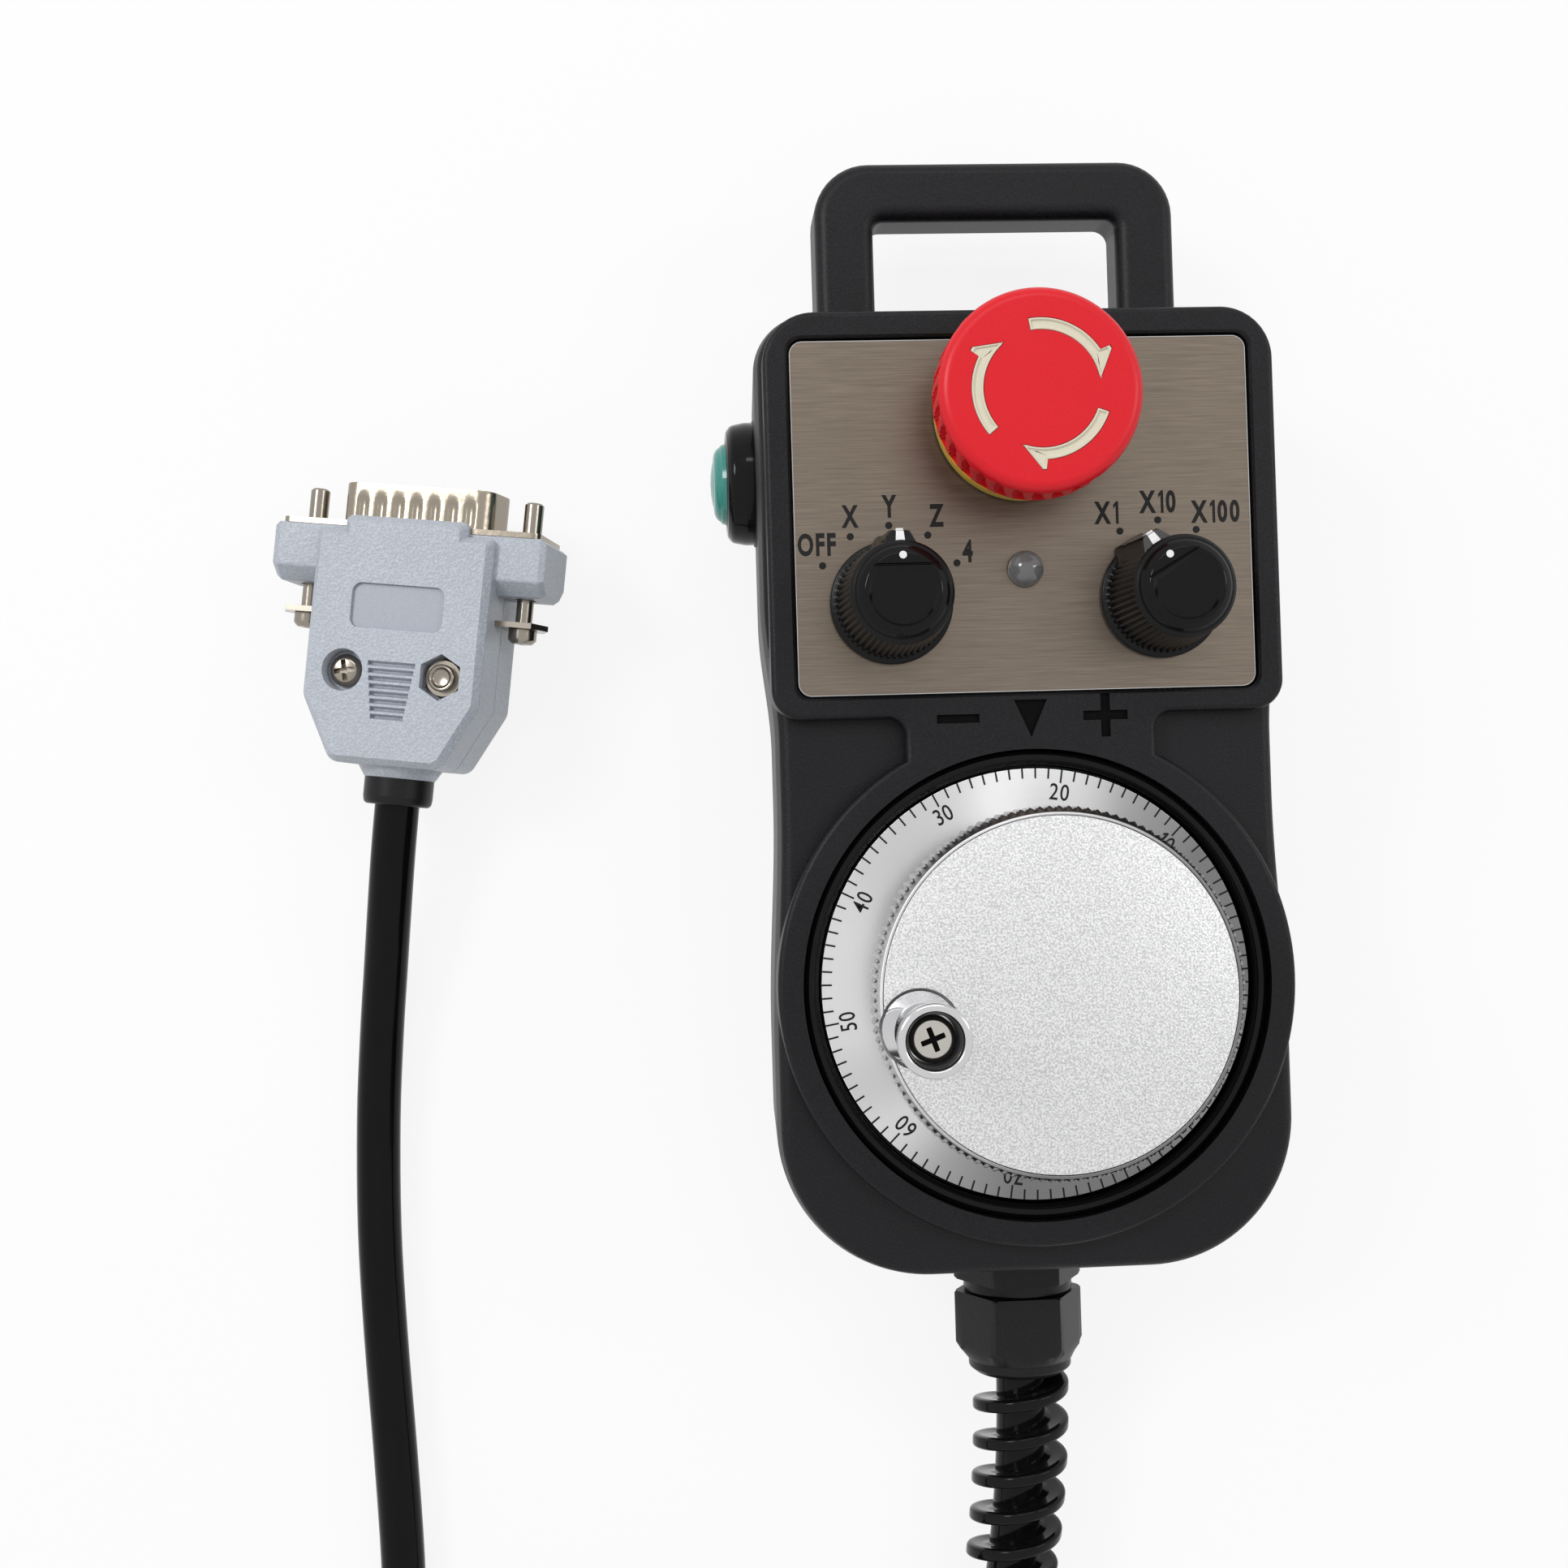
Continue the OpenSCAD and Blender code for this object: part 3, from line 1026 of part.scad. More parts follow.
// ---- one line per node ----
housing();
rear_cover();
cover_screws();
panel_plate();
encoder_housing();
encoder_screws();
encoder_bearings();
encoder_shaft();
detent_wheel();
detent_spring();
code_disc();
sensor_board();
encoder_cover();
terminal_posts();
handwheel();
hub_disc();
crank_screw();
crank_grip();
stop_head();
stop_arrows();
stop_collar();
stop_barrel();
stop_stem();
stop_spring();
stop_nut();
contact_block();
axis_knob();
axis_cap();
axis_shaft();
axis_switch();
multiplier_knob();
multiplier_cap();
multiplier_shaft();
multiplier_switch();
switch_nuts();
lamp();
lamp_holder();
button_bezel();
button_cap();
button_spring();
button_nut();
button_switch();
gland_body();
gland_seal();
gland_locknut();
gland_nut();
spiral_guard();
cable_entry();
cable_out();
cable_coil();
cable_return();
hood_front();
hood_back();
hood_fasteners();
cable_collar();
plug_shell();
plug_insert();
clips();
jackscrew_left();
jackscrew_right();
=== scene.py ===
# %% [markdown]
# # A hand-held pulse generator pendant
# The pendant steers a machine tool by hand. A graduated crank wheel sends pulses,
# two knobs choose the axis and the step, a red button stops everything, and a
# cable runs to a D-shaped plug. The CAD parts give every size and every joint, so
# this script only dresses them: it works out finer surfaces and gives each one the
# finish of the real material.

# %% Load the parts
import math

import bmesh
import bpy
import numpy as np
from mathutils import Matrix, Vector


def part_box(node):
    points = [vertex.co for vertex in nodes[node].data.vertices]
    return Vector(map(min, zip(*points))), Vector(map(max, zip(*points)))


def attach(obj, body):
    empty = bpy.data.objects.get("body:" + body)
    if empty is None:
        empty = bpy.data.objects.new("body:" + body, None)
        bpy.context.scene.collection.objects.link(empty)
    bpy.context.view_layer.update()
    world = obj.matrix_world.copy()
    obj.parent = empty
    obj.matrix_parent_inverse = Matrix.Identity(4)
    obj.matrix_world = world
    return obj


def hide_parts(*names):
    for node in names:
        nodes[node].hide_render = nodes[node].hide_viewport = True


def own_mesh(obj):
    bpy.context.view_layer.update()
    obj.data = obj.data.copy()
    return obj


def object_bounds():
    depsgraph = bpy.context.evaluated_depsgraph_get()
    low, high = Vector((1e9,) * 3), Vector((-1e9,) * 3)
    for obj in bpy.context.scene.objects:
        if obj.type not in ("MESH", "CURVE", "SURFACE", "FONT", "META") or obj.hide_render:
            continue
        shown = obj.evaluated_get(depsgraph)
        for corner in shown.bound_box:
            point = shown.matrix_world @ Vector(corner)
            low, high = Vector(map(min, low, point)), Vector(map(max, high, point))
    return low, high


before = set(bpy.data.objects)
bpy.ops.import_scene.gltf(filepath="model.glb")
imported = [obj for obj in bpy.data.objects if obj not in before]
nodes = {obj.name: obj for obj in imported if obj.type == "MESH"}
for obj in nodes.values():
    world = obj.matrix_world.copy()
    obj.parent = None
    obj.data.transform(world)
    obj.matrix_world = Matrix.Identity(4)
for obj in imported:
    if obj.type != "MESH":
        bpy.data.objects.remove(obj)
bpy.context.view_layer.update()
mm = 0.001
print("CAD parts:", len(nodes))

# %% [markdown]
# ## Where things are
# Each place is read from the box of a CAD part, so the dressing follows the parts.
# Lengths below are in millimetres, which suit a thing this small, and the mesh
# helper turns them into metres at the end.


# %% Boxes and levels in millimetres
def box(node):
    """Lowest and highest corner of a part, in millimetres."""
    low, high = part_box(node)
    return np.array(low) / mm, np.array(high) / mm


def middle(node):
    low, high = box(node)
    return (low + high) / 2


top_z = box("housing")[1][2]
plate_low, plate_high = box("panel_plate")
plate_z = plate_high[2]
dial_z = box("handwheel")[0][2] + 1.5
hub_z = box("handwheel")[1][2]
stop_x, stop_y = middle("stop_stem")[:2]
stop_z = box("stop_head")[1][2]
grip_x, grip_y = middle("crank_grip")[:2]
print(f"plate at {plate_z:.1f}, dial at {dial_z:.1f}, hub at {hub_z:.1f} mm")

# %% [markdown]
# ## The camera
# A long way up, looking almost straight down, with the pendant to the right of
# the view. The position is over the space between the plug and the pendant, so
# the walls that face the middle show, as they do to someone who leans over a bench.

# %% Camera
above_plate = 270
tilt = (-0.018, 0.060, 0.029)
eye = Vector((-50.6, 24.0, plate_z + above_plate)) * mm
turn = Matrix.Rotation(-math.hypot(*tilt), 3, Vector(tilt))
camera_data = bpy.data.cameras.new("overhead")
camera_data.sensor_width = 36
camera_data.lens = 45.3056
camera = bpy.data.objects.new("overhead", camera_data)
camera.matrix_world = Matrix.Translation(eye) @ turn.to_4x4()
bpy.context.scene.collection.objects.link(camera)
bpy.context.scene.camera = camera
print("lens", round(camera_data.lens, 1), "mm")

# %% [markdown]
# ## Surfaces from arrays
# A surface is a grid of points: rows go along it and columns go round it. Numpy
# works out all the points at once, and the faces between them follow one rule.
# A form is a pair: its points and its faces. Modelling by hand would be quicker for
# one piece, but here every knob and nut comes from the same few functions.


# %% Grids, joins and profiles
def skin(grid):
    """Quads between neighbouring points of a grid of shape (rows, columns, 3), and a
    cap on its first and on its last row."""
    grid = np.asarray(grid, float)
    rows, cols = grid.shape[:2]
    index = np.arange(rows * cols).reshape(rows, cols)
    nxt = np.roll(index, -1, axis=1)
    quads = np.stack([index[:-1], nxt[:-1], nxt[1:], index[1:]], -1).reshape(-1, 4).tolist()
    quads.append(list(range(cols))[::-1])
    quads.append(list(range((rows - 1) * cols, rows * cols)))
    return grid.reshape(-1, 3), quads


def hollow(form):
    """A ring whose last row repeats its first one: it needs no caps."""
    return form[0], form[1][:-2]


def joined(*forms):
    """Several forms as one."""
    points, faces, start = [], [], 0
    for p, f in forms:
        points.append(p)
        faces += [[i + start for i in face] for face in f]
        start += len(p)
    return np.concatenate(points), faces


def moved(form, x=0, y=0, z=0, about_z=0.0):
    """A form turned about the vertical by degrees, then shifted."""
    p, f = form
    c, s = math.cos(math.radians(about_z)), math.sin(math.radians(about_z))
    turned = p @ np.array([[c, s, 0], [-s, c, 0], [0, 0, 1]])
    return turned + np.array([x, y, z]), f


def placed(form, origin, side, up, out):
    """A form drawn in its own x, y, z, set on three given directions."""
    p, f = form
    return p @ np.array([side, up, out]) + np.array(origin), f


def soft(corners, steps=5):
    """A line through corners (a, b, radius), each corner replaced by an arc that is
    tangent to both its sides."""
    pts = np.array([c[:2] for c in corners], float)
    radii = [c[2] if len(c) > 2 else 0 for c in corners]
    line = [pts[0]]
    for i in range(1, len(pts) - 1):
        before, here, after = pts[i - 1], pts[i], pts[i + 1]
        u, v = before - here, after - here
        lu, lv = np.linalg.norm(u), np.linalg.norm(v)
        u, v = u / lu, v / lv
        half = math.acos(np.clip(u @ v, -1, 1)) / 2
        if radii[i] <= 0 or half > 1.55:
            line.append(here)
            continue
        cut = min(radii[i] / math.tan(half), 0.49 * lu, 0.49 * lv)
        r = cut * math.tan(half)
        centre = here + (u + v) / np.linalg.norm(u + v) * math.hypot(r, cut)
        a, b = here + u * cut - centre, here + v * cut - centre
        t = np.linspace(0, 1, steps + 1)[:, None]
        bend = a * (1 - t) + b * t
        bend *= r / np.linalg.norm(bend, axis=1, keepdims=True)
        line += list(centre + bend)
    line.append(pts[-1])
    return np.array(line)


def spun(corners, columns=128, steps=5, ripple=None):
    """A profile of corners (radius, height, rounding) turned about the vertical.
    ripple(angle, radius, height) may return a changed radius, as for a knurl."""
    line = soft(corners, steps)
    angle = np.linspace(0, 2 * np.pi, columns, endpoint=False)
    r, z, a = np.broadcast_arrays(line[:, :1], line[:, 1:], angle)
    if ripple is not None:
        r = ripple(a, r, z)
    return skin(np.stack([r * np.cos(a), r * np.sin(a), z], -1))


def zigzag(a, count):
    """Between 0 and 1, with a given number of teeth all round."""
    return np.abs(((a * count / (2 * np.pi)) % 1) * 2 - 1)


def layered(layers):
    """A form through layers (outline, height) whose outlines match point by point."""
    return skin([np.c_[outline, np.full(len(outline), z)] for outline, z in layers])


def stacked(outline, corners, steps=5):
    """Layers of one plan: corners are (inset, height, rounding), and outline(inset)
    gives the same number of points for every inset."""
    return layered([(outline(d), z) for d, z in soft(corners, steps)])


def slab(outline, low, high):
    """A flat plan given a lower and an upper level."""
    return layered([(outline, low), (outline, high)])


# %% [markdown]
# A piece is a mesh object made from a form. Its faces are shaded smooth up to a
# given angle, so a fillet reads as round and a corner stays crisp. The flat faces
# keep the say over the normals at their rims, which stops a soft shadow from
# creeping over them.


# %% Pieces
def finished(name, points, faces, sharp=32):
    """A mesh object from points in millimetres, closed and facing outwards."""
    mesh = bpy.data.meshes.new(name)
    mesh.from_pydata((np.asarray(points) * mm).tolist(), [], faces)
    work = bmesh.new()
    work.from_mesh(mesh)
    bmesh.ops.remove_doubles(work, verts=work.verts, dist=1e-7)
    bmesh.ops.dissolve_degenerate(work, edges=work.edges, dist=1e-8)
    bmesh.ops.recalc_face_normals(work, faces=work.faces)
    work.to_mesh(mesh)
    work.free()
    piece = bpy.data.objects.new(name, mesh)
    bpy.context.scene.collection.objects.link(piece)
    shade(piece, sharp)
    return piece


def shade(piece, sharp):
    mesh = piece.data
    mesh.polygons.foreach_set("use_smooth", np.ones(len(mesh.polygons), bool))
    mesh.set_sharp_from_angle(angle=math.radians(sharp))


def settle(piece):
    """Applies the modifiers of a piece to its mesh."""
    bpy.context.view_layer.update()
    ready = piece.evaluated_get(bpy.context.evaluated_depsgraph_get())
    mesh = bpy.data.meshes.new_from_object(ready)
    piece.modifiers.clear()
    old, piece.data = piece.data, mesh
    bpy.data.meshes.remove(old)


def firm_flats(piece):
    """Lets large flat faces lead the normals at their rims."""
    weighted = piece.modifiers.new("flats", "WEIGHTED_NORMAL")
    weighted.keep_sharp = True
    weighted.weight = 100
    settle(piece)


def carved(name, form, sharp=30, add=(), cut=()):
    """A piece with forms joined to it and then cut out of it, by exact booleans."""
    piece = finished(name, *form)
    tools = []
    for forms, act in ((add, "UNION"), (cut, "DIFFERENCE")):
        for points, faces in forms:
            tool = finished("tool", points, faces)
            change = piece.modifiers.new(act, "BOOLEAN")
            change.operation = act
            change.solver = "EXACT"
            change.object = tool
            tools.append(tool)
    settle(piece)
    for tool in tools:
        bpy.data.objects.remove(tool)
    shade(piece, sharp)
    return piece


def points_of(piece):
    """The points of a piece, in millimetres."""
    points = np.empty(len(piece.data.vertices) * 3)
    piece.data.vertices.foreach_get("co", points)
    return points.reshape(-1, 3) / mm


def form_of(piece):
    """The form of a piece, which is then removed."""
    form = points_of(piece), [list(face.vertices) for face in piece.data.polygons]
    bpy.data.objects.remove(piece)
    return form


def relocate(piece, move, *where):
    """Gives a finished piece its place with moved or placed."""
    points = move((points_of(piece), None), *where)[0]
    piece.data.vertices.foreach_set("co", (points * mm).ravel())


def dress(piece, body, slot, material, *replaced):
    """Gives a piece its body, its finish and the parts it stands for. The slot is not used."""
    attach(piece, body)
    if replaced:
        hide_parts(*replaced)
    piece.data.materials.clear()
    piece.data.materials.append(material)
    return piece


# %% [markdown]
# ## Finishes as expressions
# A finish is a small tree of shader nodes. Wiring them by hand is slow to read, so
# one class wraps a socket and lets Python's operators add the nodes: a + b is a Math
# node, and mix(a, b, mask) blends two colours. Numbers alone stay in Python.


# %% A socket that can be added and multiplied
class Sock:
    def __init__(self, tree, socket):
        self.tree, self.socket = tree, socket

    def _math(self, kind, other):
        return add_node(self.tree, "ShaderNodeMath", {"operation": kind}, {0: self, 1: other})

    def __add__(self, other):
        return self._math("ADD", other)

    def __mul__(self, other):
        return self._math("MULTIPLY", other)

    def clamped(self, low, high):
        return self._math("MAXIMUM", low)._math("MINIMUM", high)


def feed(tree, socket, value):
    """Links a node's input, or gives it a value. Colours are opaque."""
    if isinstance(value, Sock):
        tree.links.new(value.socket, socket)
    elif isinstance(value, tuple) and len(socket.default_value) == 4:
        socket.default_value = (*value, 1)
    else:
        socket.default_value = value


def add_node(tree, kind, settings=None, inputs=None, output=0):
    """Any node: its settings first, then values or links for its sockets."""
    node = tree.nodes.new(kind)
    for key, value in (settings or {}).items():
        setattr(node, key, value)
    for key, value in (inputs or {}).items():
        feed(tree, node.inputs[key], value)
    return Sock(tree, node.outputs[output])


class Finish:
    """One material: a Principled shader and the patterns that feed it."""

    def __init__(self, name):
        self.material = bpy.data.materials.new(name)
        self.material.use_nodes = True
        self.tree = self.material.node_tree
        self.shader = self.tree.nodes["Principled BSDF"]
        self.place = add_node(self.tree, "ShaderNodeTexCoord", output="Object")

    def set(self, **values):
        for key, value in values.items():
            feed(self.tree, self.shader.inputs[key.replace("_", " ")], value)
        return self

    def stretched(self, x=1.0, y=1.0, z=1.0, shift=(0.0, 0.0, 0.0)):
        """Object coordinates, shifted and stretched, for grain that runs one way."""
        return add_node(self.tree, "ShaderNodeMapping", None,
                        {"Vector": self.place, "Location": shift, "Scale": (x, y, z)})

    def noise(self, scale, detail=2.0, where=None):
        return add_node(self.tree, "ShaderNodeTexNoise", None,
                        {"Vector": where or self.place, "Scale": scale, "Detail": detail})

    def mix(self, first, second, mask):
        return add_node(self.tree, "ShaderNodeMix", {"data_type": "RGBA"},
                        {"Factor": mask, 6: first, 7: second}, output=2)

    def ramp(self, value, low, high):
        """0 up to low, 1 from high on, and a straight line between them."""
        made = add_node(self.tree, "ShaderNodeValToRGB", None, {"Fac": value})
        for element, place in zip(made.socket.node.color_ramp.elements, (low, high)):
            element.position = place
        return made

    def bump(self, height, strength, distance):
        """Small relief: distance is the height of the pattern, in metres."""
        return self.set(Normal=add_node(
            self.tree, "ShaderNodeBump", None,
            {"Height": height, "Strength": strength, "Distance": distance}))


# %% [markdown]
# ### Plastics
# A moulding shop textures the tool with fine sparks, and the grain shows on the part
# as a faint sparkle. The knobs come from a smoother tool, the bezel and the caps from
# a polished one. Each grain is a noise at its real size: about 0.2 mm for the body.


# %% Plastic finishes
def plastic(name, colour, rough, grain=0.0, size=0.2, uneven=0.04, shine=0.2, spread=1.25):
    """Moulded plastic: colour, gloss, and a grain of a given size in millimetres. A low
    shine keeps black plastic black in a white room."""
    made = Finish(name)
    cloud = made.noise(90.0, 3.0)
    speck = made.noise(1000.0 / size, 2.0)
    tone = tuple(min(1.0, c * spread + 0.004) for c in colour)
    sparkle = made.ramp(speck, 0.42, 0.68)
    made.set(
        Base_Color=made.mix(colour, tone, cloud * 0.4 + sparkle * 0.6),
        Roughness=(cloud * uneven + (rough - uneven / 2)).clamped(0.02, 1.0),
        Specular_IOR_Level=shine,
    )
    if grain:
        made.bump(speck, grain, size * mm * 0.25)
    return made.material


case_black = plastic("case_black", (0.004, 0.004, 0.005), 0.40, 0.7, 0.28, spread=2.6)
knob_black = plastic("knob_black", (0.004, 0.004, 0.0045), 0.3, 0.1, 0.15, shine=0.16)
gloss_black = plastic("gloss_black", (0.003, 0.003, 0.0035), 0.1, uneven=0.02, shine=0.14)
unit_black = plastic("unit_black", (0.02, 0.02, 0.021), 0.5, 0.2)
nylon_black = plastic("nylon_black", (0.006, 0.006, 0.007), 0.36, 0.12, 0.4)
stop_red = plastic("stop_red", (0.74, 0.008, 0.018), 0.36, 0.08, 0.3, shine=0.3, spread=1.05)
arrow_cream = plastic("arrow_cream", (0.74, 0.69, 0.55), 0.45, spread=1.05)
collar_yellow = plastic("collar_yellow", (0.66, 0.42, 0.04), 0.35, shine=0.4)
button_green = plastic("button_green", (0.03, 0.24, 0.20), 0.2, shine=0.5)
hood_grey = plastic("hood_grey", (0.385, 0.415, 0.465), 0.36, 1.0, 0.36, shine=0.45, spread=1.42)
# Smooth like the label area, and darker than the hood as painted shade for the label recess.
hood_smooth_shaded = plastic("hood_smooth_shaded", (0.34, 0.37, 0.42), 0.36, shine=0.45)
ink_black = plastic("ink_black", (0.008, 0.008, 0.008), 0.5)
# Nearly black and almost without shine: painted shade for the floors of recesses.
recess_shade_black = plastic("recess_shade_black", (0.002, 0.002, 0.002), 0.5, shine=0.04)
mark_white = plastic("mark_white", (0.85, 0.85, 0.85), 0.4)
lamp_grey = plastic("lamp_grey", (0.06, 0.06, 0.068), 0.5)
board_green = plastic("board_green", (0.01, 0.10, 0.04), 0.35)

# %% [markdown]
# ### Metals
# A metal's look is its reflections, and those follow the last tool that touched it.
# The panel is brushed along its width, so its scratches are a noise stretched along X.
# The wheel was turned, so its scratches are rings: a noise of the radius alone. The
# dial also carries a painted highlight on one side and painted shade on the other.
# The hub disc was blasted with beads and reflects softly from everywhere.


# %% Metal finishes
def metal(name, colour, rough, grain=0.0, size=0.3, spread=0.9):
    """Plain metal with a slight unevenness, and specks where it was blasted."""
    made = Finish(name)
    cloud = made.noise(120.0, 3.0)
    speck = made.noise(1000.0 / size, 2.0)
    dark = tuple(c * spread for c in colour)
    specks = made.ramp(speck, 0.36, 0.62) if spread < 0.9 else cloud
    made.set(Metallic=1.0, Base_Color=made.mix(dark, colour, specks),
             Roughness=(cloud * 0.05 + (rough - 0.025)).clamped(0.02, 1.0))
    if grain:
        made.bump(speck, grain, size * mm * 0.2)
    return made.material


def brushed(name, colour, rough):
    """Scratches along X: noise with a short wave across and a long one along."""
    made = Finish(name)
    fine = made.noise(1.0, 4.0, made.stretched(180.0, 9000.0, 400.0))
    broad = made.noise(1.0, 3.0, made.stretched(70.0, 4200.0, 400.0))
    cloud = made.noise(30.0, 2.0)
    lines = fine * 0.6 + broad * 0.4
    dark = tuple(c * 0.76 for c in colour)
    light = tuple(min(1.0, c * 1.26) for c in colour)
    made.set(Metallic=1.0, Base_Color=made.mix(dark, light, made.ramp(lines, 0.3, 0.7)),
             Roughness=(lines * 0.16 + cloud * 0.08 + (rough - 0.12)).clamped(0.05, 1.0))
    return made.bump(lines, 0.3, 0.01 * mm).material


def turned(name, colour, rough, relief, centre=(0.0, 0.0), stretch=0.0, bright=None):
    """Rings round a centre: noise of the distance from it, with the tool's pitch of
    0.12 mm. With bright, the tone also carries painted light: it follows
    (away / distance) . d, where d points to that many degrees, so that side is a
    painted highlight and the opposite side painted shade."""
    made = Finish(name)
    away = add_node(made.tree, "ShaderNodeVectorMath", {"operation": "MULTIPLY"},
                    {0: made.stretched(shift=(-centre[0] * mm, -centre[1] * mm, 0.0)),
                     1: (1.0, 1.0, 0.0)})
    radius = add_node(made.tree, "ShaderNodeVectorMath", {"operation": "LENGTH"},
                      {0: away}, output=1)
    along = add_node(made.tree, "ShaderNodeCombineXYZ", None, {0: radius})
    rings = made.noise(1000.0 / 0.12, 3.0, along)
    dark = tuple(c * 0.88 for c in colour)
    # With bright, the tone is painted light: lighter toward that direction as a painted highlight,
    # and down to 0.18 of the colour on the far side as painted shade.
    if bright is not None:
        unit = add_node(made.tree, "ShaderNodeVectorMath", {"operation": "NORMALIZE"}, {0: away})
        b = math.radians(bright)
        side = add_node(made.tree, "ShaderNodeVectorMath", {"operation": "DOT_PRODUCT"},
                        {0: unit, 1: (math.cos(b), math.sin(b), 0.0)}, output=1)
        rings = rings * 0.2 + made.ramp(side * 0.5 + 0.5, 0.3, 0.85) * 0.8
        dark = tuple(c * 0.18 for c in colour)
    made.set(Metallic=1.0, Base_Color=made.mix(dark, colour, rings),
             Roughness=(rings * 0.12 + (rough - 0.06)).clamped(0.03, 1.0), Anisotropic=stretch)
    return made.bump(rings, relief, 0.004 * mm).material


panel_steel = brushed("panel_steel", (0.185, 0.152, 0.122), 0.36)
# The dial's tone is painted light: a painted highlight toward 150 degrees and painted shade on the
# far side.
dial_alloy = turned("dial_alloy", (0.70, 0.70, 0.705), 0.34, 0.3, stretch=0.95, bright=150.0)
disc_alloy = metal("disc_alloy", (0.76, 0.76, 0.765), 0.42, grain=1.0, size=0.27, spread=0.64)
grip_steel = turned("grip_steel", (0.62, 0.62, 0.63), 0.14, 0.2, (grip_x, grip_y))
screw_steel = metal("screw_steel", (0.30, 0.27, 0.23), 0.2)
bright_screw = metal("bright_screw", (0.52, 0.50, 0.46), 0.22)
shell_nickel = metal("shell_nickel", (0.33, 0.29, 0.235), 0.25, grain=0.15, size=0.9)
pin_gold = metal("pin_gold", (0.60, 0.45, 0.20), 0.25)
ground_steel = metal("ground_steel", (0.55, 0.55, 0.56), 0.3)

# Clear resin as a thin bright glass, so that what is behind it still shows.
lamp_clear = Finish("clear_resin").set(
    Base_Color=(0.92, 0.93, 0.94), Roughness=0.05, Transmission_Weight=0.85, IOR=1.45,
    Coat_Weight=0.3).material


def cable_sheath():
    """Soft PVC: a gloss that breaks up in long faint streaks along the cable."""
    made = Finish("cable_sheath")
    ripple = made.noise(1.0, 3.0, made.stretched(500.0, 60.0, 500.0))
    made.set(Base_Color=made.mix((0.002, 0.002, 0.0025), (0.005, 0.005, 0.0055), ripple),
             Roughness=(ripple * 0.08 + 0.12).clamped(0.05, 1.0), Specular_IOR_Level=0.09,
             Coat_Weight=0.05)
    return made.bump(ripple, 0.2, 0.05 * mm).material


cable_black = cable_sheath()
print("finishes:", len(bpy.data.materials))

# %% [markdown]
# ## The housing
# The housing is one moulding: a deep tray with rounded shoulders, and on it a raised
# level that carries the panel, the neck and the ring round the wheel. The tray is a
# stack of plan outlines, each with its own inset, and the raised level is a second
# stack whose plan is one line with soft inner corners. Booleans join the two, cut the
# seats and the marks, and leave the real wall, so the mesh stays one clean shell.

# %% Plan of the tray
case_low, case_high = box("rear_cover")
foot_y = case_low[1]
head_y = case_high[1]
wheel_half = 36.4
waist_half = 35.1
head_half = 36.65
foot_radius = 21.0
head_radius = 8.0
draft = 1.2
shoulder_low = top_z - 6.5


def eased(t):
    """0 to 1 along half a cosine wave."""
    return (1 - np.cos(np.pi * np.clip(t, 0, 1))) / 2


def half_width(y):
    """Half the width at a height y: wide at the wheel, waisted, wide at the head."""
    return (waist_half + (wheel_half - waist_half) * eased((26 - y) / 34)
            + (head_half - waist_half) * eased((y - 34) / 20))


def arc(cx, cy, r, start, end, count):
    a = np.radians(np.linspace(start, end, count))
    return np.c_[cx + r * np.cos(a), cy + r * np.sin(a)]


def tray_plan(inset):
    """The outline of the tray moved inwards: right side upwards, then mirrored."""
    y = np.linspace(foot_y + foot_radius + 4, head_y - head_radius - 3, 70)
    right = np.concatenate([
        arc(wheel_half - foot_radius, foot_y + foot_radius, foot_radius - inset, -90, 0, 28),
        np.c_[half_width(y) - inset, y],
        arc(head_half - head_radius, head_y - head_radius, head_radius - inset, 0, 90, 16),
    ])
    return np.concatenate([right, right[::-1] * [-1, 1]])


def drafted(form):
    """The side walls lean: at height z each side is draft * (1 - z / shoulder_low)
    nearer to the middle, so the back is a little narrower than the front."""
    points, faces = form
    lean = draft * np.clip(1 - points[:, 2] / shoulder_low, 0, 1)
    return points - np.outer(np.sign(points[:, 0]) * lean, [1, 0, 0]), faces


def rounded_box(half, low, high, top_r, low_r, count=12):
    """A plan rectangle with its own corner radius at the top and at the foot."""
    return np.concatenate([
        arc(half - low_r, low + low_r, low_r, -90, 0, count),
        arc(half - top_r, high - top_r, top_r, 0, 90, count),
        arc(top_r - half, high - top_r, top_r, 90, 180, count),
        arc(low_r - half, low + low_r, low_r, 180, 270, count),
    ])


# %% [markdown]
# The plan of the raised level runs from the head, round soft inner corners into the
# neck, and round the wheel. Its rings are moved inwards along the line's own normals.

# %% Plan of the raised level
seam_z = 5.0
shoulder_z = top_z - 3.0
head_low = plate_low[1] - 3.15
neck_half = 17.4
ring_r = 36.0
meet = math.degrees(math.asin(neck_half / ring_r))
ring = arc(0, 0, ring_r, 90 - meet, meet - 270, 150)[1:-1]
level_corners = [(0, head_y - 1, 0), (-head_half + 1, head_y - 1, 7.2),
                 (-head_half + 1, head_low, 4.2), (-neck_half, head_low, 2.2)]
left = soft(level_corners + [(-neck_half, ring_r * math.cos(math.radians(meet)) - 0.2, 0)], 12)
level_line = np.concatenate([left, ring[::-1], (left * [-1, 1])[::-1][:-1]])
step_out = np.roll(level_line, -1, axis=0) - np.roll(level_line, 1, axis=0)
normal = np.c_[-step_out[:, 1], step_out[:, 0]] / np.linalg.norm(step_out, axis=1)[:, None]


def level_plan(inset):
    return level_line + normal * inset


# %% Seats, marks and holes
def plate_seat(inset):
    return rounded_box(plate_high[0] + 0.2 - inset, plate_low[1] - 0.2 + inset,
                       plate_high[1] + 0.2 - inset, 2.2, 2.2)


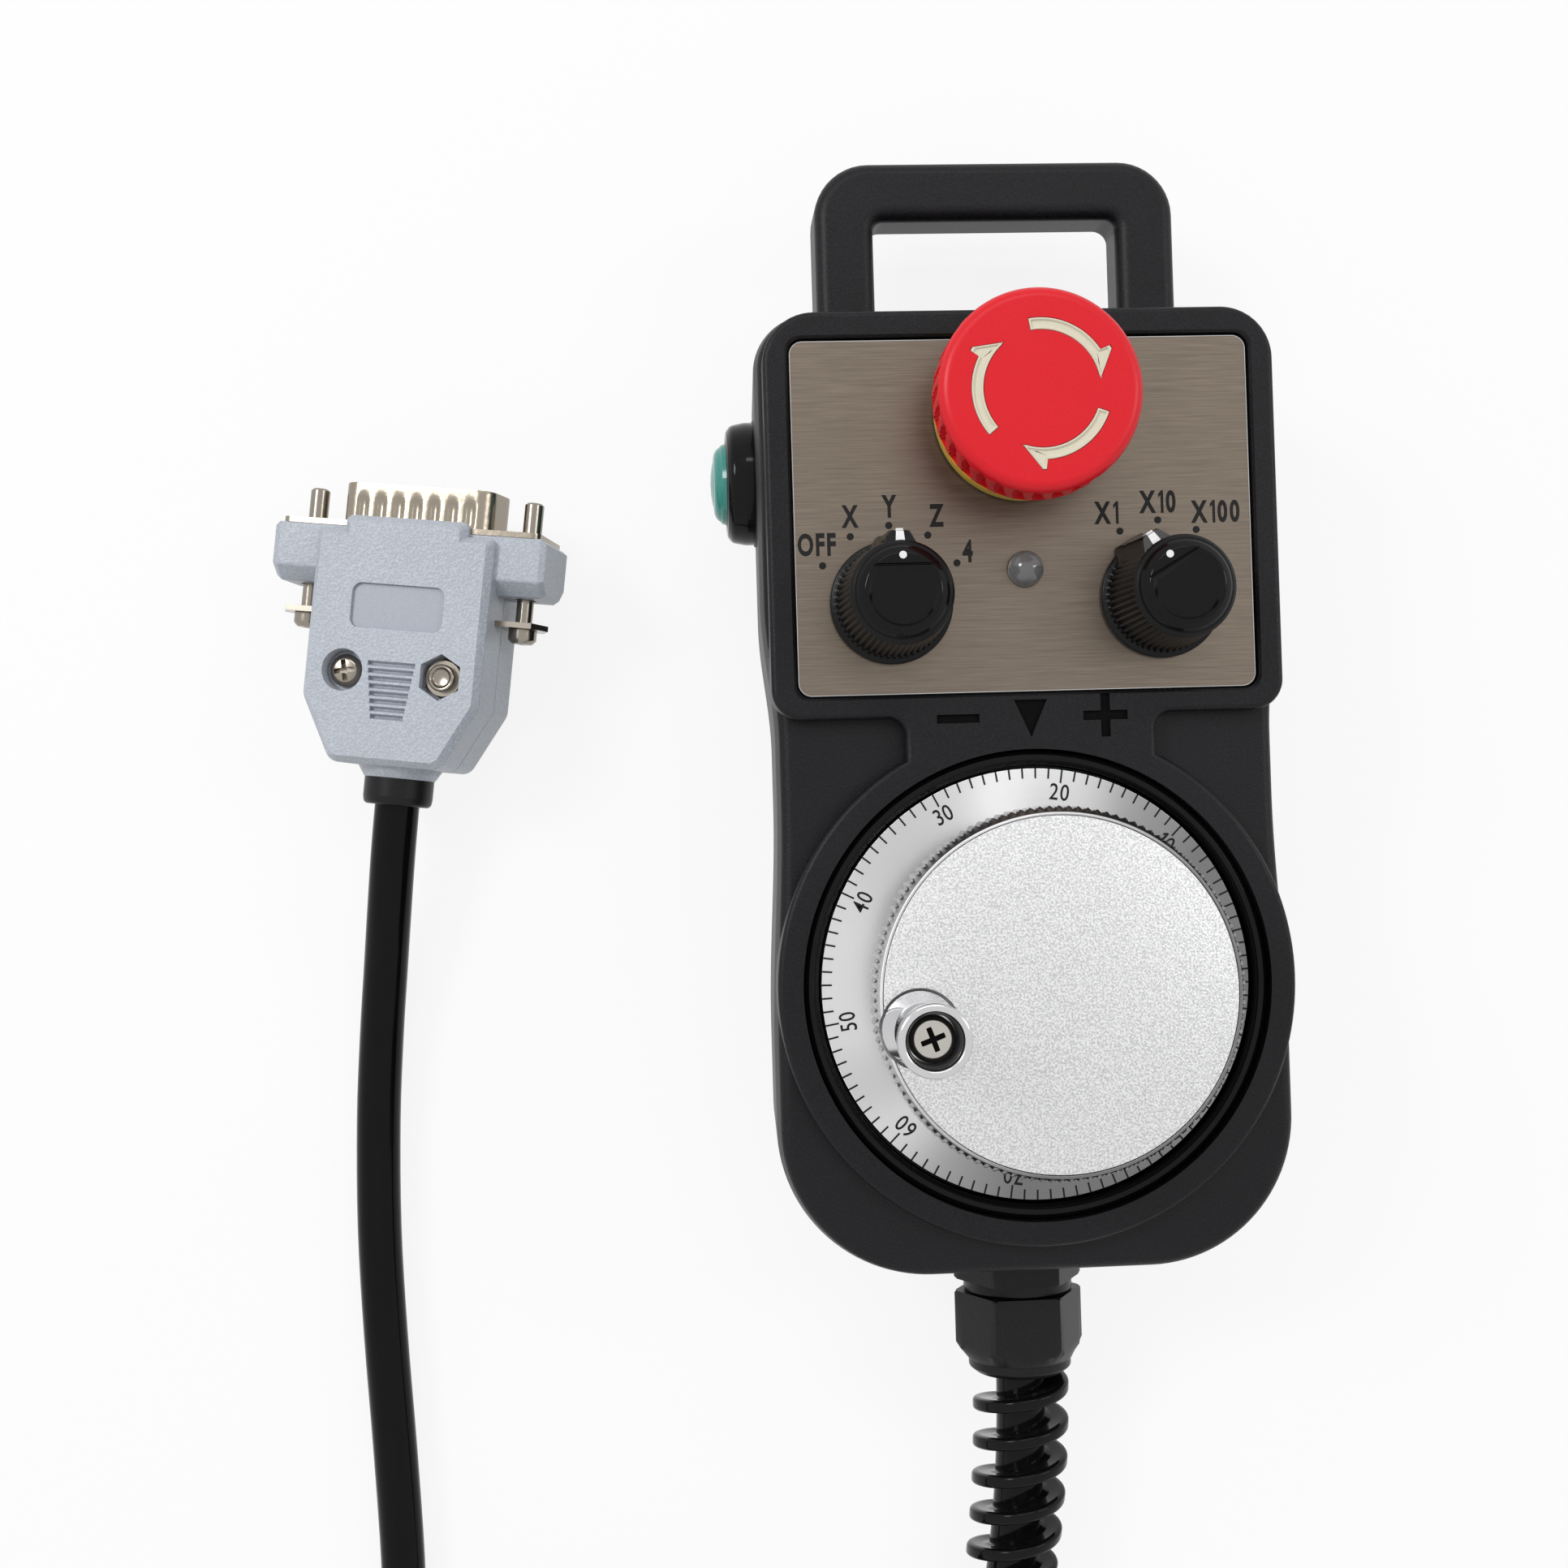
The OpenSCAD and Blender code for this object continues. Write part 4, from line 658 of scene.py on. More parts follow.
mark_y = head_low - 0.3
mark_depth = 0.6
mark_plans = [
    [(-13.05, mark_y - 0.6), (-7.15, mark_y - 0.6), (-7.15, mark_y + 0.6), (-13.05, mark_y + 0.6)],
    [(-2.3, mark_y + 2.4), (0, mark_y - 2.8), (2.3, mark_y + 2.4)],
    [(10.4 + x, mark_y + y) for x, y in (
        (-3.1, -0.65), (-0.65, -0.65), (-0.65, -3), (0.65, -3), (0.65, -0.65), (3.1, -0.65),
        (3.1, 0.65), (0.65, 0.65), (0.65, 3), (-0.65, 3), (-0.65, 0.65), (-3.1, 0.65))],
]
marks = [slab(plan, top_z - mark_depth, top_z + 1) for plan in mark_plans]
unit_r = box("encoder_housing")[1][0]
wheel_bore = spun([(unit_r + 0.2, 31.7), (unit_r + 0.2, top_z + 1)], 160)
cup_bore = spun([(25.2, 4), (25.2, top_z)], 96)
seat = stacked(plate_seat, [(0, plate_z - 1), (0, top_z - 0.35), (-0.4, top_z + 0.1)])
inside = drafted(stacked(tray_plan, [(2.5, seam_z - 1), (2.5, 29), (3.5, shoulder_z - 2.5)]))
button_y, button_z = middle("button_cap")[1:]
wall_x = box("button_bezel")[0][0] + 4.0
leftwards = (np.array([wall_x, button_y, button_z]), np.array([0, 1, 0]),
             np.array([0, 0, -1]), np.array([-1, 0, 0]))
pad = placed(spun([(0, -3), (9.2, -3), (9.2, 0, 0.2), (0, 0)], 96), *leftwards)

# %% [markdown]
# The handle loop is a flat ring with round edges. Its outer wall and its opening are
# both stacks of rounded rectangles, and the opening is cut out of the rest.

# %% Handle loop
loop_low, loop_high = 11.5, 22.5
loop_top = box("housing")[1][1]
loop_half = 26.5
bar = 8.0
top_bar = 7.9


def loop_plan(inset):
    return rounded_box(loop_half - inset, head_y - 1.5, loop_top - inset, 8 - inset, 0.4)


def gap_plan(inset):
    return rounded_box(loop_half - bar + inset, head_y - 5, loop_top - top_bar + inset,
                       2.2 + inset, 0.4)


loop_sides = stacked(loop_plan, [(4, loop_low), (0, loop_low, 2.4), (0, loop_high, 2.4),
                                 (4, loop_high)], 8)
gap_lip = soft([(6, loop_low), (0, loop_low, 2.2), (-0.7, loop_high, 2.0), (6, loop_high)], 8)
flare = np.vstack([(2.3, loop_low - 1), gap_lip[1:-1], (2.3, loop_high + 1)])
gap = layered([(gap_plan(d), z) for d, z in flare])
loop = form_of(carved("loop", loop_sides, cut=[gap]))

# %% Housing
tray = drafted(stacked(tray_plan, [(0.5, seam_z), (0, seam_z, 0.25), (0, 31.5, 8),
                                   (0.7, shoulder_z, 1.8), (3.4, shoulder_z)], 9))
level = stacked(level_plan, [(0, shoulder_z - 3), (0, top_z, 0.9), (1.6, top_z)], 7)
housing = carved("housing_shell", tray, 30, [level, loop, pad],
                 [inside, seat, wheel_bore, cup_bore] + marks)
firm_flats(housing)
dress(housing, "case", "case_black", case_black, "housing")
print("housing faces:", len(housing.data.polygons))
mark_floor = top_z - mark_depth
# Sheets on the floors of the marks, darker than the case: painted shade in the recesses.
mark_shades = joined(*[slab(plan, mark_floor, mark_floor + 0.04) for plan in mark_plans])
dress(finished("mark_floor_shades", *mark_shades), "case", "gloss_black", recess_shade_black)

# %% [markdown]
# ## The rear cover
# A flat lid that closes the tray. Its back edge is rounded for the palm, and a fine
# groove marks the seam, which is what shows that the case is two mouldings.

# %% Rear cover
lid = drafted(stacked(tray_plan, [(6, 0), (0, 0, 2.2), (0, seam_z, 0.25), (6, seam_z)], 8))
screw_places = [(x * s, y) for x, y in ((27, 85), (26, 34), (23.5, -27.4)) for s in (-1, 1)]
lid_wells = [moved(spun([(3.2, -1), (3.2, 2.4)], 48), x, y) for x, y in screw_places]
cover = carved("rear_lid", lid, 30, cut=lid_wells)
firm_flats(cover)
dress(cover, "case", "case_black", case_black, "rear_cover")

# %% [markdown]
# ## Floor and light
# The pendant lies on a white sheet. The floor shows itself as plain white to the
# camera and to mirrors and glass, but takes the soft shadow under the body. Three
# soft lamps stand left, right and behind, as in a product studio, and a pale world
# fills in.

# %% Floor
floor_z = min(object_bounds()[0][2], 0.0)
floor_mesh = bpy.data.meshes.new("floor")
reach = 6.0
floor_mesh.from_pydata(
    [(-reach, -reach, floor_z), (reach, -reach, floor_z), (reach, reach, floor_z),
     (-reach, reach, floor_z)], [], [(0, 1, 2, 3)])
floor = bpy.data.objects.new("floor", floor_mesh)
bpy.context.scene.collection.objects.link(floor)


def seen_rays(tree):
    """1 for rays of the camera, of mirrors and of glass, and 0 for rays of light."""
    rays = tree.nodes.new("ShaderNodeLightPath")
    view, mirror, glass = (Sock(tree, rays.outputs[f"Is {kind} Ray"])
                           for kind in ("Camera", "Glossy", "Transmission"))
    return (view + mirror + glass).clamped(0.0, 1.0)


def paper_white():
    """White paper: most of what the camera sees is the sheet's own white, so that it
    stays white, and the rest takes the shadows."""
    paper = Finish("paper_white")
    paper.set(Base_Color=(0.96, 0.96, 0.96), Roughness=0.9, Specular_IOR_Level=0.0)
    tree = paper.tree
    white = add_node(tree, "ShaderNodeEmission", None, {"Color": (1.0, 1.0, 1.0), "Strength": 1.0})
    blend = add_node(tree, "ShaderNodeMixShader", None, {
        0: seen_rays(tree) * 0.86, 1: Sock(tree, paper.shader.outputs[0]), 2: white})
    tree.links.new(blend.socket, tree.nodes["Material Output"].inputs["Surface"])
    return paper.material


floor.data.materials.append(paper_white())

# %% World and lamps
world = bpy.data.worlds.new("studio")
bpy.context.scene.world = world
world.use_nodes = True
sky = world.node_tree
sky.nodes.clear()
dim, bright = (add_node(sky, "ShaderNodeBackground", None,
                        {"Color": (1.0, 1.0, 1.0), "Strength": strength})
               for strength in (0.5, 1.0))
mixed = add_node(sky, "ShaderNodeMixShader", None, {0: seen_rays(sky), 1: dim, 2: bright})
out = sky.nodes.new("ShaderNodeOutputWorld")
sky.links.new(mixed.socket, out.inputs["Surface"])
bpy.context.scene.view_settings.view_transform = "Standard"


def lamp(name, place, aim, width, height, power):
    """A soft rectangular lamp that faces a point. Places are in metres."""
    light = bpy.data.lights.new(name, "AREA")
    light.shape = "RECTANGLE"
    light.size, light.size_y, light.energy = width, height, power
    holder = bpy.data.objects.new(name, light)
    toward = Vector(aim) - Vector(place)
    holder.matrix_world = (Matrix.Translation(place)
                           @ toward.to_track_quat("-Z", "Y").to_matrix().to_4x4())
    bpy.context.scene.collection.objects.link(holder)


lamp("key", (-0.75, 0.45, 0.85), (0, 0.03, 0.02), 0.32, 0.32, 4.6)
lamp("fill", (0.85, 0.25, 0.80), (0, 0.03, 0.02), 0.2, 0.5, 2.0)
lamp("top", (0.0, 0.75, 0.9), (0, 0.03, 0.02), 0.7, 0.12, 1.8)

# %% [markdown]
# ## The cable
# The cable leaves the gland inside its spiral guard, droops to the table, and is
# wound up below the view. From the coil it runs up again on the left to the
# plug. Its centreline is one list of points, the same as the CAD route, and a
# circle is carried along it. All of it is one length, about a metre and a half.

# %% Centreline
cable_r = 3.3
gland_z = 12.5
mouth_y = box("gland_nut")[0][1]


def droop(s):
    """Sideways and downward sag of the guard at s mm from the gland's mouth: it grows
    with the square of s, to 4.1 and 6 mm at the guard's end."""
    return -4.1 * (s / 45) ** 2, -6 * (s / 45) ** 2


def curved(points, steps):
    """A Catmull-Rom curve: each piece is a cubic that leaves a point along the line
    that joins its two neighbours."""
    p = np.vstack([points[0], points, points[-1]]).astype(float)
    t = np.linspace(0, 1, steps, endpoint=False)[:, None, None]
    a, b, c, d = p[:-3], p[1:-2], p[2:-1], p[3:]
    line = 0.5 * (2 * b + (c - a) * t + (2 * a - 5 * b + 4 * c - d) * t**2
                  + (3 * b - a - 3 * c + d) * t**3)
    return np.vstack([line.transpose(1, 0, 2).reshape(-1, 3), p[-1]])


starts = np.array([0.3, 11, 22, 33, 44])
drop = droop(starts)
route_out = np.vstack([
    np.c_[drop[0], mouth_y - starts, gland_z + drop[1]],
    [(-5.3, -112, 5), (-5.6, -121, 3.9), (-5, -130, 3.5), (-4.2, -139, 3.4)],
])
route_back = np.array([
    (-95.9, -138, 9), (-95.2, -128, 6.8), (-94.4, -118, 4.6), (-93.8, -108, 3.5),
    (-93.5, -98, 3.4), (-93.5, -86, 3.4), (-94.2, -70, 3.4), (-95.2, -52, 3.4),
    (-95.7, -36, 3.4), (-95.4, -20, 3.5), (-94.5, -7, 4.2), (-93.4, 3, 6),
    (-92.4, 11, 8.3), (-91.3, 20, 10.4), (-90.4, 27.5, 11), (-89.9, 31.5, 11),
])


def winding():
    """The coil: inwards on the table, up, and outwards on top, turning clockwise
    seen from above. The radius changes by one diameter a turn, and the cable climbs
    to the upper layer within a third of a turn."""
    turns_low, turns_high = 2.72, 2.78
    middle_x, middle_y, wide = -50, -148, 46.2
    pitch = 2 * cable_r + 0.1
    narrow = wide - pitch * turns_low
    low = np.linspace(0, turns_low, 60)[:-1]
    high = np.linspace(0, turns_high, 60)[1:]
    angle = -2 * np.pi * np.concatenate([low, turns_low + high])
    radius = np.concatenate([wide - pitch * low,
                             narrow + (wide - narrow) * high / turns_high])
    rise = 1 - np.clip(high / 0.35, 0, 1)
    height = np.concatenate([np.full(len(low), 3.4),
                             9.95 - 6.55 * (0.5 - 0.5 * np.cos(np.pi * rise))])
    return np.c_[middle_x + radius * np.cos(angle), middle_y + radius * np.sin(angle), height]


centre = curved(np.vstack([route_out, winding(), route_back]), 4)


# %% [markdown]
# A circle is carried along the line. Its two axes are kept square to the line by
# using the vertical as a guide, which works because the cable never stands upright.


# %% Tube
def carried(line, radius, columns=20):
    """A tube round a line: at each point, radius * (cos a * side + sin a * up)."""
    along = np.gradient(line, axis=0)
    along /= np.linalg.norm(along, axis=1, keepdims=True)
    side = np.cross([0.0, 0.0, 1.0], along)
    side /= np.linalg.norm(side, axis=1, keepdims=True)
    up = np.cross(along, side)
    a = np.linspace(0, 2 * np.pi, columns, endpoint=False)[None, :, None]
    return skin(line[:, None] + radius * (np.cos(a) * side[:, None] + np.sin(a) * up[:, None]))


cable = finished("cable_run", *carried(centre, cable_r), 60)
dress(cable, "case", "cable_black", cable_black, "cable_out", "cable_coil", "cable_return")

# %% [markdown]
# ## Lettering
# The legends are printed, so they are thin flat letters that stand a few hundredths
# of a millimetre proud. Blender's own font gives the outlines. Each word is scaled to
# its real height, narrowed to the condensed face of instrument panels, and thickened
# by moving the outline outwards.


# %% Words as thin solids
one_plan = [(0.16, 0), (0.34, 0), (0.34, 1), (0.20, 1), (0.0, 0.84), (0.0, 0.68), (0.16, 0.79)]
print_height = 0.03
print_gap = 0.005
letter_gap = 0.17


def glyph(letter, weight):
    """One letter, one unit high, with its left foot at the origin."""
    if letter == "1":
        return slab(one_plan, 0, 1)
    curve = bpy.data.curves.new("word", "FONT")
    curve.body = letter
    curve.extrude = 0.5
    curve.offset = weight
    curve.resolution_u = 4
    word = bpy.data.objects.new("word", curve)
    bpy.context.scene.collection.objects.link(word)
    bpy.context.view_layer.update()
    mesh = bpy.data.meshes.new_from_object(
        word.evaluated_get(bpy.context.evaluated_depsgraph_get()))
    points = np.array([v.co for v in mesh.vertices])
    faces = [list(face.vertices) for face in mesh.polygons]
    bpy.data.objects.remove(word)
    bpy.data.meshes.remove(mesh)
    low, high = points.min(0), points.max(0)
    return (points - low) / [high[1] - low[1], high[1] - low[1], high[2] - low[2]], faces


def lettering(words, height, narrow, weight):
    """The form of a printed word, centred on the origin with its top towards +y. Its
    letters are set side by side with a gap, then scaled to the height and narrowed."""
    row, x = [], 0.0
    for letter in words:
        form = glyph(letter, weight)
        row.append(moved(form, x))
        x += form[0][:, 0].max() + letter_gap
    points, faces = joined(*row)
    size = [height * narrow, height, print_height]
    return (points - [(x - letter_gap) / 2, 0.5, 0]) * size, faces


def dot(radius):
    return spun([(0, 0), (radius, 0), (radius, print_height), (0, print_height)], 32)


# %% [markdown]
# The plate is punched from sheet, and a fine bevel runs round it. A strip of brighter
# steel on the bevel is a painted highlight: the thin bright line along its edge. The
# four holes are cut with plain cylinders.

# %% Panel plate
plate_back = box("panel_plate")[0][2]


def plate_plan(inset):
    return rounded_box(plate_high[0] - inset, plate_low[1] + inset, plate_high[1] - inset,
                       2 - inset, 2 - inset)


def hole(x, y, r):
    return moved(spun([(0, plate_back - 1), (r, plate_back - 1), (r, plate_z + 1),
                       (0, plate_z + 1)], 64), x, y)


holes = [hole(*middle(name)[:2], r) for name, r in
         (("axis_shaft", 4.7), ("multiplier_shaft", 4.7), ("stop_stem", 8.2), ("lamp", 2.55))]
plate_form = stacked(plate_plan, [(0, plate_back), (0, plate_z - 0.2), (0.2, plate_z)])
plate_face = carved("panel_face", plate_form, 20, cut=holes)
dress(plate_face, "case", "plate_steel", panel_steel, "panel_plate")
# The bright strip is a painted highlight: brighter steel laid on the bevel all round.
edge_rows = [(0.02, plate_z - 0.15), (0.02, plate_z - 0.13), (0.16, plate_z + 0.01),
             (0.24, plate_z + 0.01), (0.24, plate_z - 0.15), (0.02, plate_z - 0.15)]
edge_highlight = hollow(layered([(plate_plan(d), z) for d, z in edge_rows]))
dress(finished("panel_edge_highlight", *edge_highlight), "case", "plate_steel", ground_steel)

# %% [markdown]
# The two knobs point at dots thirty degrees apart, and each dot has its word outside
# it. The words stand upright on the panel, as on the real plate, not round the knob.

# %% Panel legends
axis_x, axis_y = middle("axis_shaft")[:2]
step_x, step_y = middle("multiplier_shaft")[:2]
dot_ring = 10.75
legend_z = plate_z + print_gap
word_height, word_width, word_weight = 3.15, 0.66, 0.036
words = [
    ("OFF", -28.83, 61.4), ("X", -24.14, 65.2), ("Y", -18.67, 66.5), ("Z", -12.14, 65.1),
    ("4", -7.96, 60.1), ("X1", 11.59, 65.0), ("X10", 18.82, 66.4), ("X100", 26.94, 64.9),
]
prints = [moved(lettering(w, word_height, word_width, word_weight), x, y, legend_z)
          for w, x, y in words]
for cx, cy, places in ((axis_x, axis_y, (150, 120, 90, 60, 30)), (step_x, step_y, (120, 90, 60))):
    for a in np.radians(places):
        prints.append(moved(dot(0.5), cx + dot_ring * math.cos(a), cy + dot_ring * math.sin(a),
                            legend_z))
legends = finished("panel_legends", *joined(*prints))
dress(legends, "case", "case_black", ink_black)

# %% [markdown]
# ## The pulse unit and the wheel
# The unit is a drop-in module: its glossy bezel ring closes the gap to the housing.
# The wheel is turned from one bar of aluminium: a flat graduated flange, a waist, and
# a thick knurled rim that the fingers turn. The knurl is a ripple on the radius of a
# spun profile, which is far lighter than cutting 120 teeth.

# %% Bezel ring
unit_low = box("encoder_housing")[0][2]
bezel_form = spun([
    (4.6, dial_z - 2.1), (30.35, dial_z - 2.1, 0.1), (30.35, top_z - 1.7, 0.5),
    (30.9, top_z - 1.0, 0.4), (31.7, top_z - 1.0, 0.5), (unit_r, top_z - 1.5, 0.3),
    (unit_r, 31.7), (25, 31.7), (25, unit_low), (23, unit_low), (23, dial_z - 4.1),
    (4.6, dial_z - 4.1), (4.6, dial_z - 2.1),
], 256, 6)
dress(finished("bezel_ring", *hollow(bezel_form), 30), "case", "gloss_black", gloss_black,
      "encoder_housing")

# %% Handwheel
teeth = 120
tooth_depth = 0.45
rim_low, rim_high = dial_z + 11.5, hub_z - 1.4
grip_low, grip_high = (v[2] for v in box("crank_grip"))


def knurl(a, r, z):
    """A V-groove knurl: the radius falls by the tooth depth between two teeth."""
    return r - tooth_depth * zigzag(a, teeth) * ((z > rim_low) & (z < rim_high) & (r > 24.3))


pocket = moved(spun([(5.3, hub_z - 2.6), (5.3, hub_z + 2)], 64), grip_x, grip_y)
wheel_form = spun([
    (3.02, dial_z - 1.5), (29.7, dial_z - 1.5), (30, dial_z - 1.2, 0.15), (30, dial_z, 0.25),
    (20.5, dial_z, 2.2), (19, dial_z + 4, 2), (19, hub_z - 10.2, 2), (23.9, rim_low - 0.4, 0.6),
    (24.6, rim_low + 0.3), (24.6, rim_high - 0.1), (24.0, hub_z - 0.8), (23.75, hub_z, 0.25),
    (23.36, hub_z, 0.1), (23.36, hub_z - 1), (3.02, hub_z - 1), (3.02, dial_z - 1.5),
], 720, 5, knurl)
wheel = carved("handwheel_turned", hollow(wheel_form), 28, cut=[pocket])
dress(wheel, "wheel", "wheel_alloy", dial_alloy, "handwheel")
print("wheel faces:", len(wheel.data.polygons))

# %% [markdown]
# The dial carries one hundred divisions, one for each click of the wheel, and its
# tens are numbered anticlockwise. Each line is a thin bar that is turned into place.

# %% Dial divisions
twenty_at = 81.3
per_division = 3.6
tick_from, ten_from, tick_to, tick_width = 28.45, 28.0, 29.85, 0.24
number_ring, number_height = 26.75, 2.3


def bar_mark(inner, outer, width):
    x = np.array([inner, outer, outer, inner])
    y = np.array([-width, -width, width, width]) / 2
    return slab(np.c_[x, y], 0, print_height)


lines = []
for n in range(100):
    angle = twenty_at + (n - 20) * per_division
    tens = n % 10 == 0
    lines.append(moved(bar_mark(ten_from if tens else tick_from, tick_to, tick_width),
                       z=dial_z + print_gap, about_z=angle))
    if tens:
        a = math.radians(angle)
        lines.append(moved(lettering(str(n), number_height, 0.82, 0.006),
                           number_ring * math.cos(a), number_ring * math.sin(a),
                           dial_z + print_gap, angle - 90))
divisions = finished("dial_divisions", *joined(*lines))
dress(divisions, "wheel", "case_black", ink_black)

# %% [markdown]
# The hub disc is a plain bead-blasted plate pressed into the rim. It is left without
# words. The crank grip is a polished spool that turns on a shouldered screw.

# %% Hub disc, grip and screw
disc_form = spun([(0, hub_z - 1), (23.3, hub_z - 1), (23.3, hub_z - 0.02, 0.12),
                  (0, hub_z - 0.02)], 256, 3)
disc = carved("hub_plate", disc_form, 30, cut=[pocket])
dress(disc, "wheel", "satin_alloy", disc_alloy, "hub_disc")

spool_form = spun([
    (2.05, grip_low), (5, grip_low, 0.15), (5, grip_low + 1.1, 0.5), (3.7, grip_low + 4.6, 4),
    (3.55, grip_high - 5.5, 6), (4.65, grip_high - 1.6, 1.2), (4.65, grip_high, 0.7),
    (3.75, grip_high, 0.3), (3.4, grip_high - 0.5, 0.2), (3.4, grip_high - 4.6),
    (2.05, grip_high - 4.6), (2.05, grip_low),
], 128, 8)
# A thin black sleeve in the spool's bore is painted shade that darkens the inside of the bore.
bore_shade_form = spun([(3.2, grip_high - 4.5), (3.38, grip_high - 4.5), (3.38, grip_high - 1.1),
                   (3.2, grip_high - 1.2), (3.2, grip_high - 4.5)], 64, 2)
spool, bore_shade = (moved(hollow(form), grip_x, grip_y) for form in (spool_form, bore_shade_form))
dress(finished("grip_spool", *spool, 40), "crank", "grip_chrome", grip_steel, "crank_grip")
dress(finished("grip_bore_shade", *bore_shade, 40), "crank", "unit_black", unit_black)


def cross_slot(size, width, low, turn=0.0):
    """A cross recess: two tapered slots at right angles, for cutting."""
    foot = rounded_box(size * 0.55, -width * 0.3, width * 0.3, 0.05, 0.05, 2)
    mouth = rounded_box(size, -width / 2, width / 2, 0.1, 0.1, 2)
    form = layered([(foot, low), (mouth, low + 2.5)])
    return [moved(form, about_z=a + turn) for a in (0, 90)]


screw_top = box("crank_screw")[1][2]
screw_form = spun([
    (0, grip_low - 6), (1.5, grip_low - 6), (1.5, grip_low), (2, grip_low),
    (2, screw_top - 2.3), (2.95, screw_top - 2.3), (2.95, screw_top - 0.75, 0.3),
    (2.4, screw_top - 0.22, 0.6), (0, screw_top, 3),
], 64, 6)
screw = carved("crank_bolt", moved(screw_form, grip_x, grip_y), 30, cut=[
    moved(f, grip_x, grip_y) for f in cross_slot(1.9, 0.8, screw_top - 1.7, 20)])
dress(screw, "wheel", "screw_steel", bright_screw, "crank_screw")
# A black disc at the foot of the cross recess is painted shade in the recess.
slot_shade = spun([(0, screw_top - 1), (1.8, screw_top - 1), (1.8, screw_top - 0.8),
                   (0, screw_top - 0.8)], 48, 2)
dress(finished("crank_slot_shade", *moved(slot_shade, grip_x, grip_y)), "wheel", "unit_black",
      recess_shade_black)

# %% [markdown]
# ## The stop button
# The mushroom head has a soft edge, and its side is notched all round, so that a
# gloved hand can twist it. Each notch rises steeply on one side and runs out on the
# other. Three arrows show which way to twist. They are pale inlays with a raised lip.

# %% Stop head
notch_count = 32
notch_depth = 0.85
under_z = box("stop_head")[0][2]


def notches(a, r, z):
    """Shallow square notches that end half way up the rounded edge."""
    u = (a * notch_count / (2 * np.pi) + 0.10 * (z - under_z)) % 1
    fade = np.clip((stop_z - 1.3 - z) / 1.4, 0, 1) * (z > under_z + 0.2)
    cut = np.clip(u / 0.08, 0, 1) * np.clip((0.52 - u) / 0.14, 0, 1)
    return r - notch_depth * cut * fade * (r > 12)


def arrow_plan(grow):
    """One arrow: an arc that ends in a barb and a tip, moved outwards by grow."""
    outer = arc(0, 0, 9.3 + grow, 99.8 + 6 * grow, 32.5, 28)
    inner = arc(0, 0, 7.75 - grow, 12 - 6 * grow, 99.8 + 7 * grow, 34)
    barb = arc(0, 0, 10.6 + 1.5 * grow, 31.4 + 2 * grow, 28.6 + 1.5 * grow, 3)
    tip = arc(0, 0, 7.95, 10.2 - 10 * grow, 8.2 - 11 * grow, 3)
    return np.concatenate([outer, barb, tip, inner])


def arrow_at(form, k):
    return moved(form, stop_x, stop_y, 0, -120 * k)


head_form = spun([
    (0, under_z + 1), (10.1, under_z + 1, 0.3), (11.1, under_z, 0.3), (13.4, under_z, 0.4),
    (13.6, under_z + 0.6), (13.6, under_z + 2), (13.6, under_z + 3.2), (13.6, stop_z - 3.5),
    (13.6, stop_z - 3.25), (13.6, stop_z - 0.05, 3.1), (0, stop_z, 2),
], 768, 10, notches)
recess = slab(arrow_plan(0.08), stop_z - 0.9, stop_z + 1)
head = carved("stop_mushroom", moved(head_form, stop_x, stop_y), 35,
              cut=[arrow_at(recess, k) for k in range(3)])
dress(head, "stop_button", "stop_red", stop_red, "stop_head")
print("stop head faces:", len(head.data.polygons))

# %% Arrow inlays
lip_wall = soft([(0.0, stop_z - 0.9), (0.0, stop_z + 0.02, 0.12), (-0.26, stop_z + 0.02, 0.12),
                 (-0.34, stop_z - 0.28, 0.1), (-0.5, stop_z - 0.3)], 3)
inlay = layered([(arrow_plan(g), z) for g, z in lip_wall])
inlays = joined(*[arrow_at(inlay, k) for k in range(3)])
dress(finished("arrow_inlays", *inlays, 35), "stop_button", "arrow_cream", arrow_cream,
      "stop_arrows")

# %% Collar
collar_low, collar_high = (v[2] for v in box("stop_collar"))
collar_form = spun([
    (8.1, collar_low), (10.55, collar_low), (10.55, collar_low + 0.9),
    (12.3, collar_low + 0.9, 0.15), (12.3, collar_high, 0.7), (8.1, collar_high),
    (8.1, collar_low),
], 160, 6)
collar = moved(hollow(collar_form), stop_x, stop_y)
dress(finished("yellow_collar", *collar, 35), "case", "collar_yellow", collar_yellow,
      "stop_collar")

# %% [markdown]
# ## The selector knobs
# Each knob is a skirt, a fluted body that narrows a little, a nose that points at the
# dots, and a polished cap with a shallow well. The nose is drawn as rings that shrink
# as they rise. The white lines on the nose and the dot on the cap are the pointers.

# %% Knob forms
skirt_low = box("axis_knob")[0][2]
cap_low, cap_high = (v[2] for v in box("axis_cap"))
flutes = 54
nose_from = 6.4
nose_slope = 0.32


def fluting(a, r, z):
    """V-shaped flutes: the radius falls by the flute's depth between two ridges."""
    on_side = (z > skirt_low + 1.15) & (z < cap_low - 0.4) & (r > 6.6)
    return r - 0.38 * zigzag(a, flutes) * on_side


def knob_body():
    return spun([
        (0, skirt_low), (8.5, skirt_low, 0.15), (8.5, skirt_low + 0.9, 0.3),
        (7.8, skirt_low + 1.1), (7.8, skirt_low + 1.3), (6.95, cap_low - 0.6),
        (6.9, cap_low - 0.3), (6.5, cap_low + 0.1, 0.2), (0, cap_low + 0.1),
    ], 432, 5, fluting)


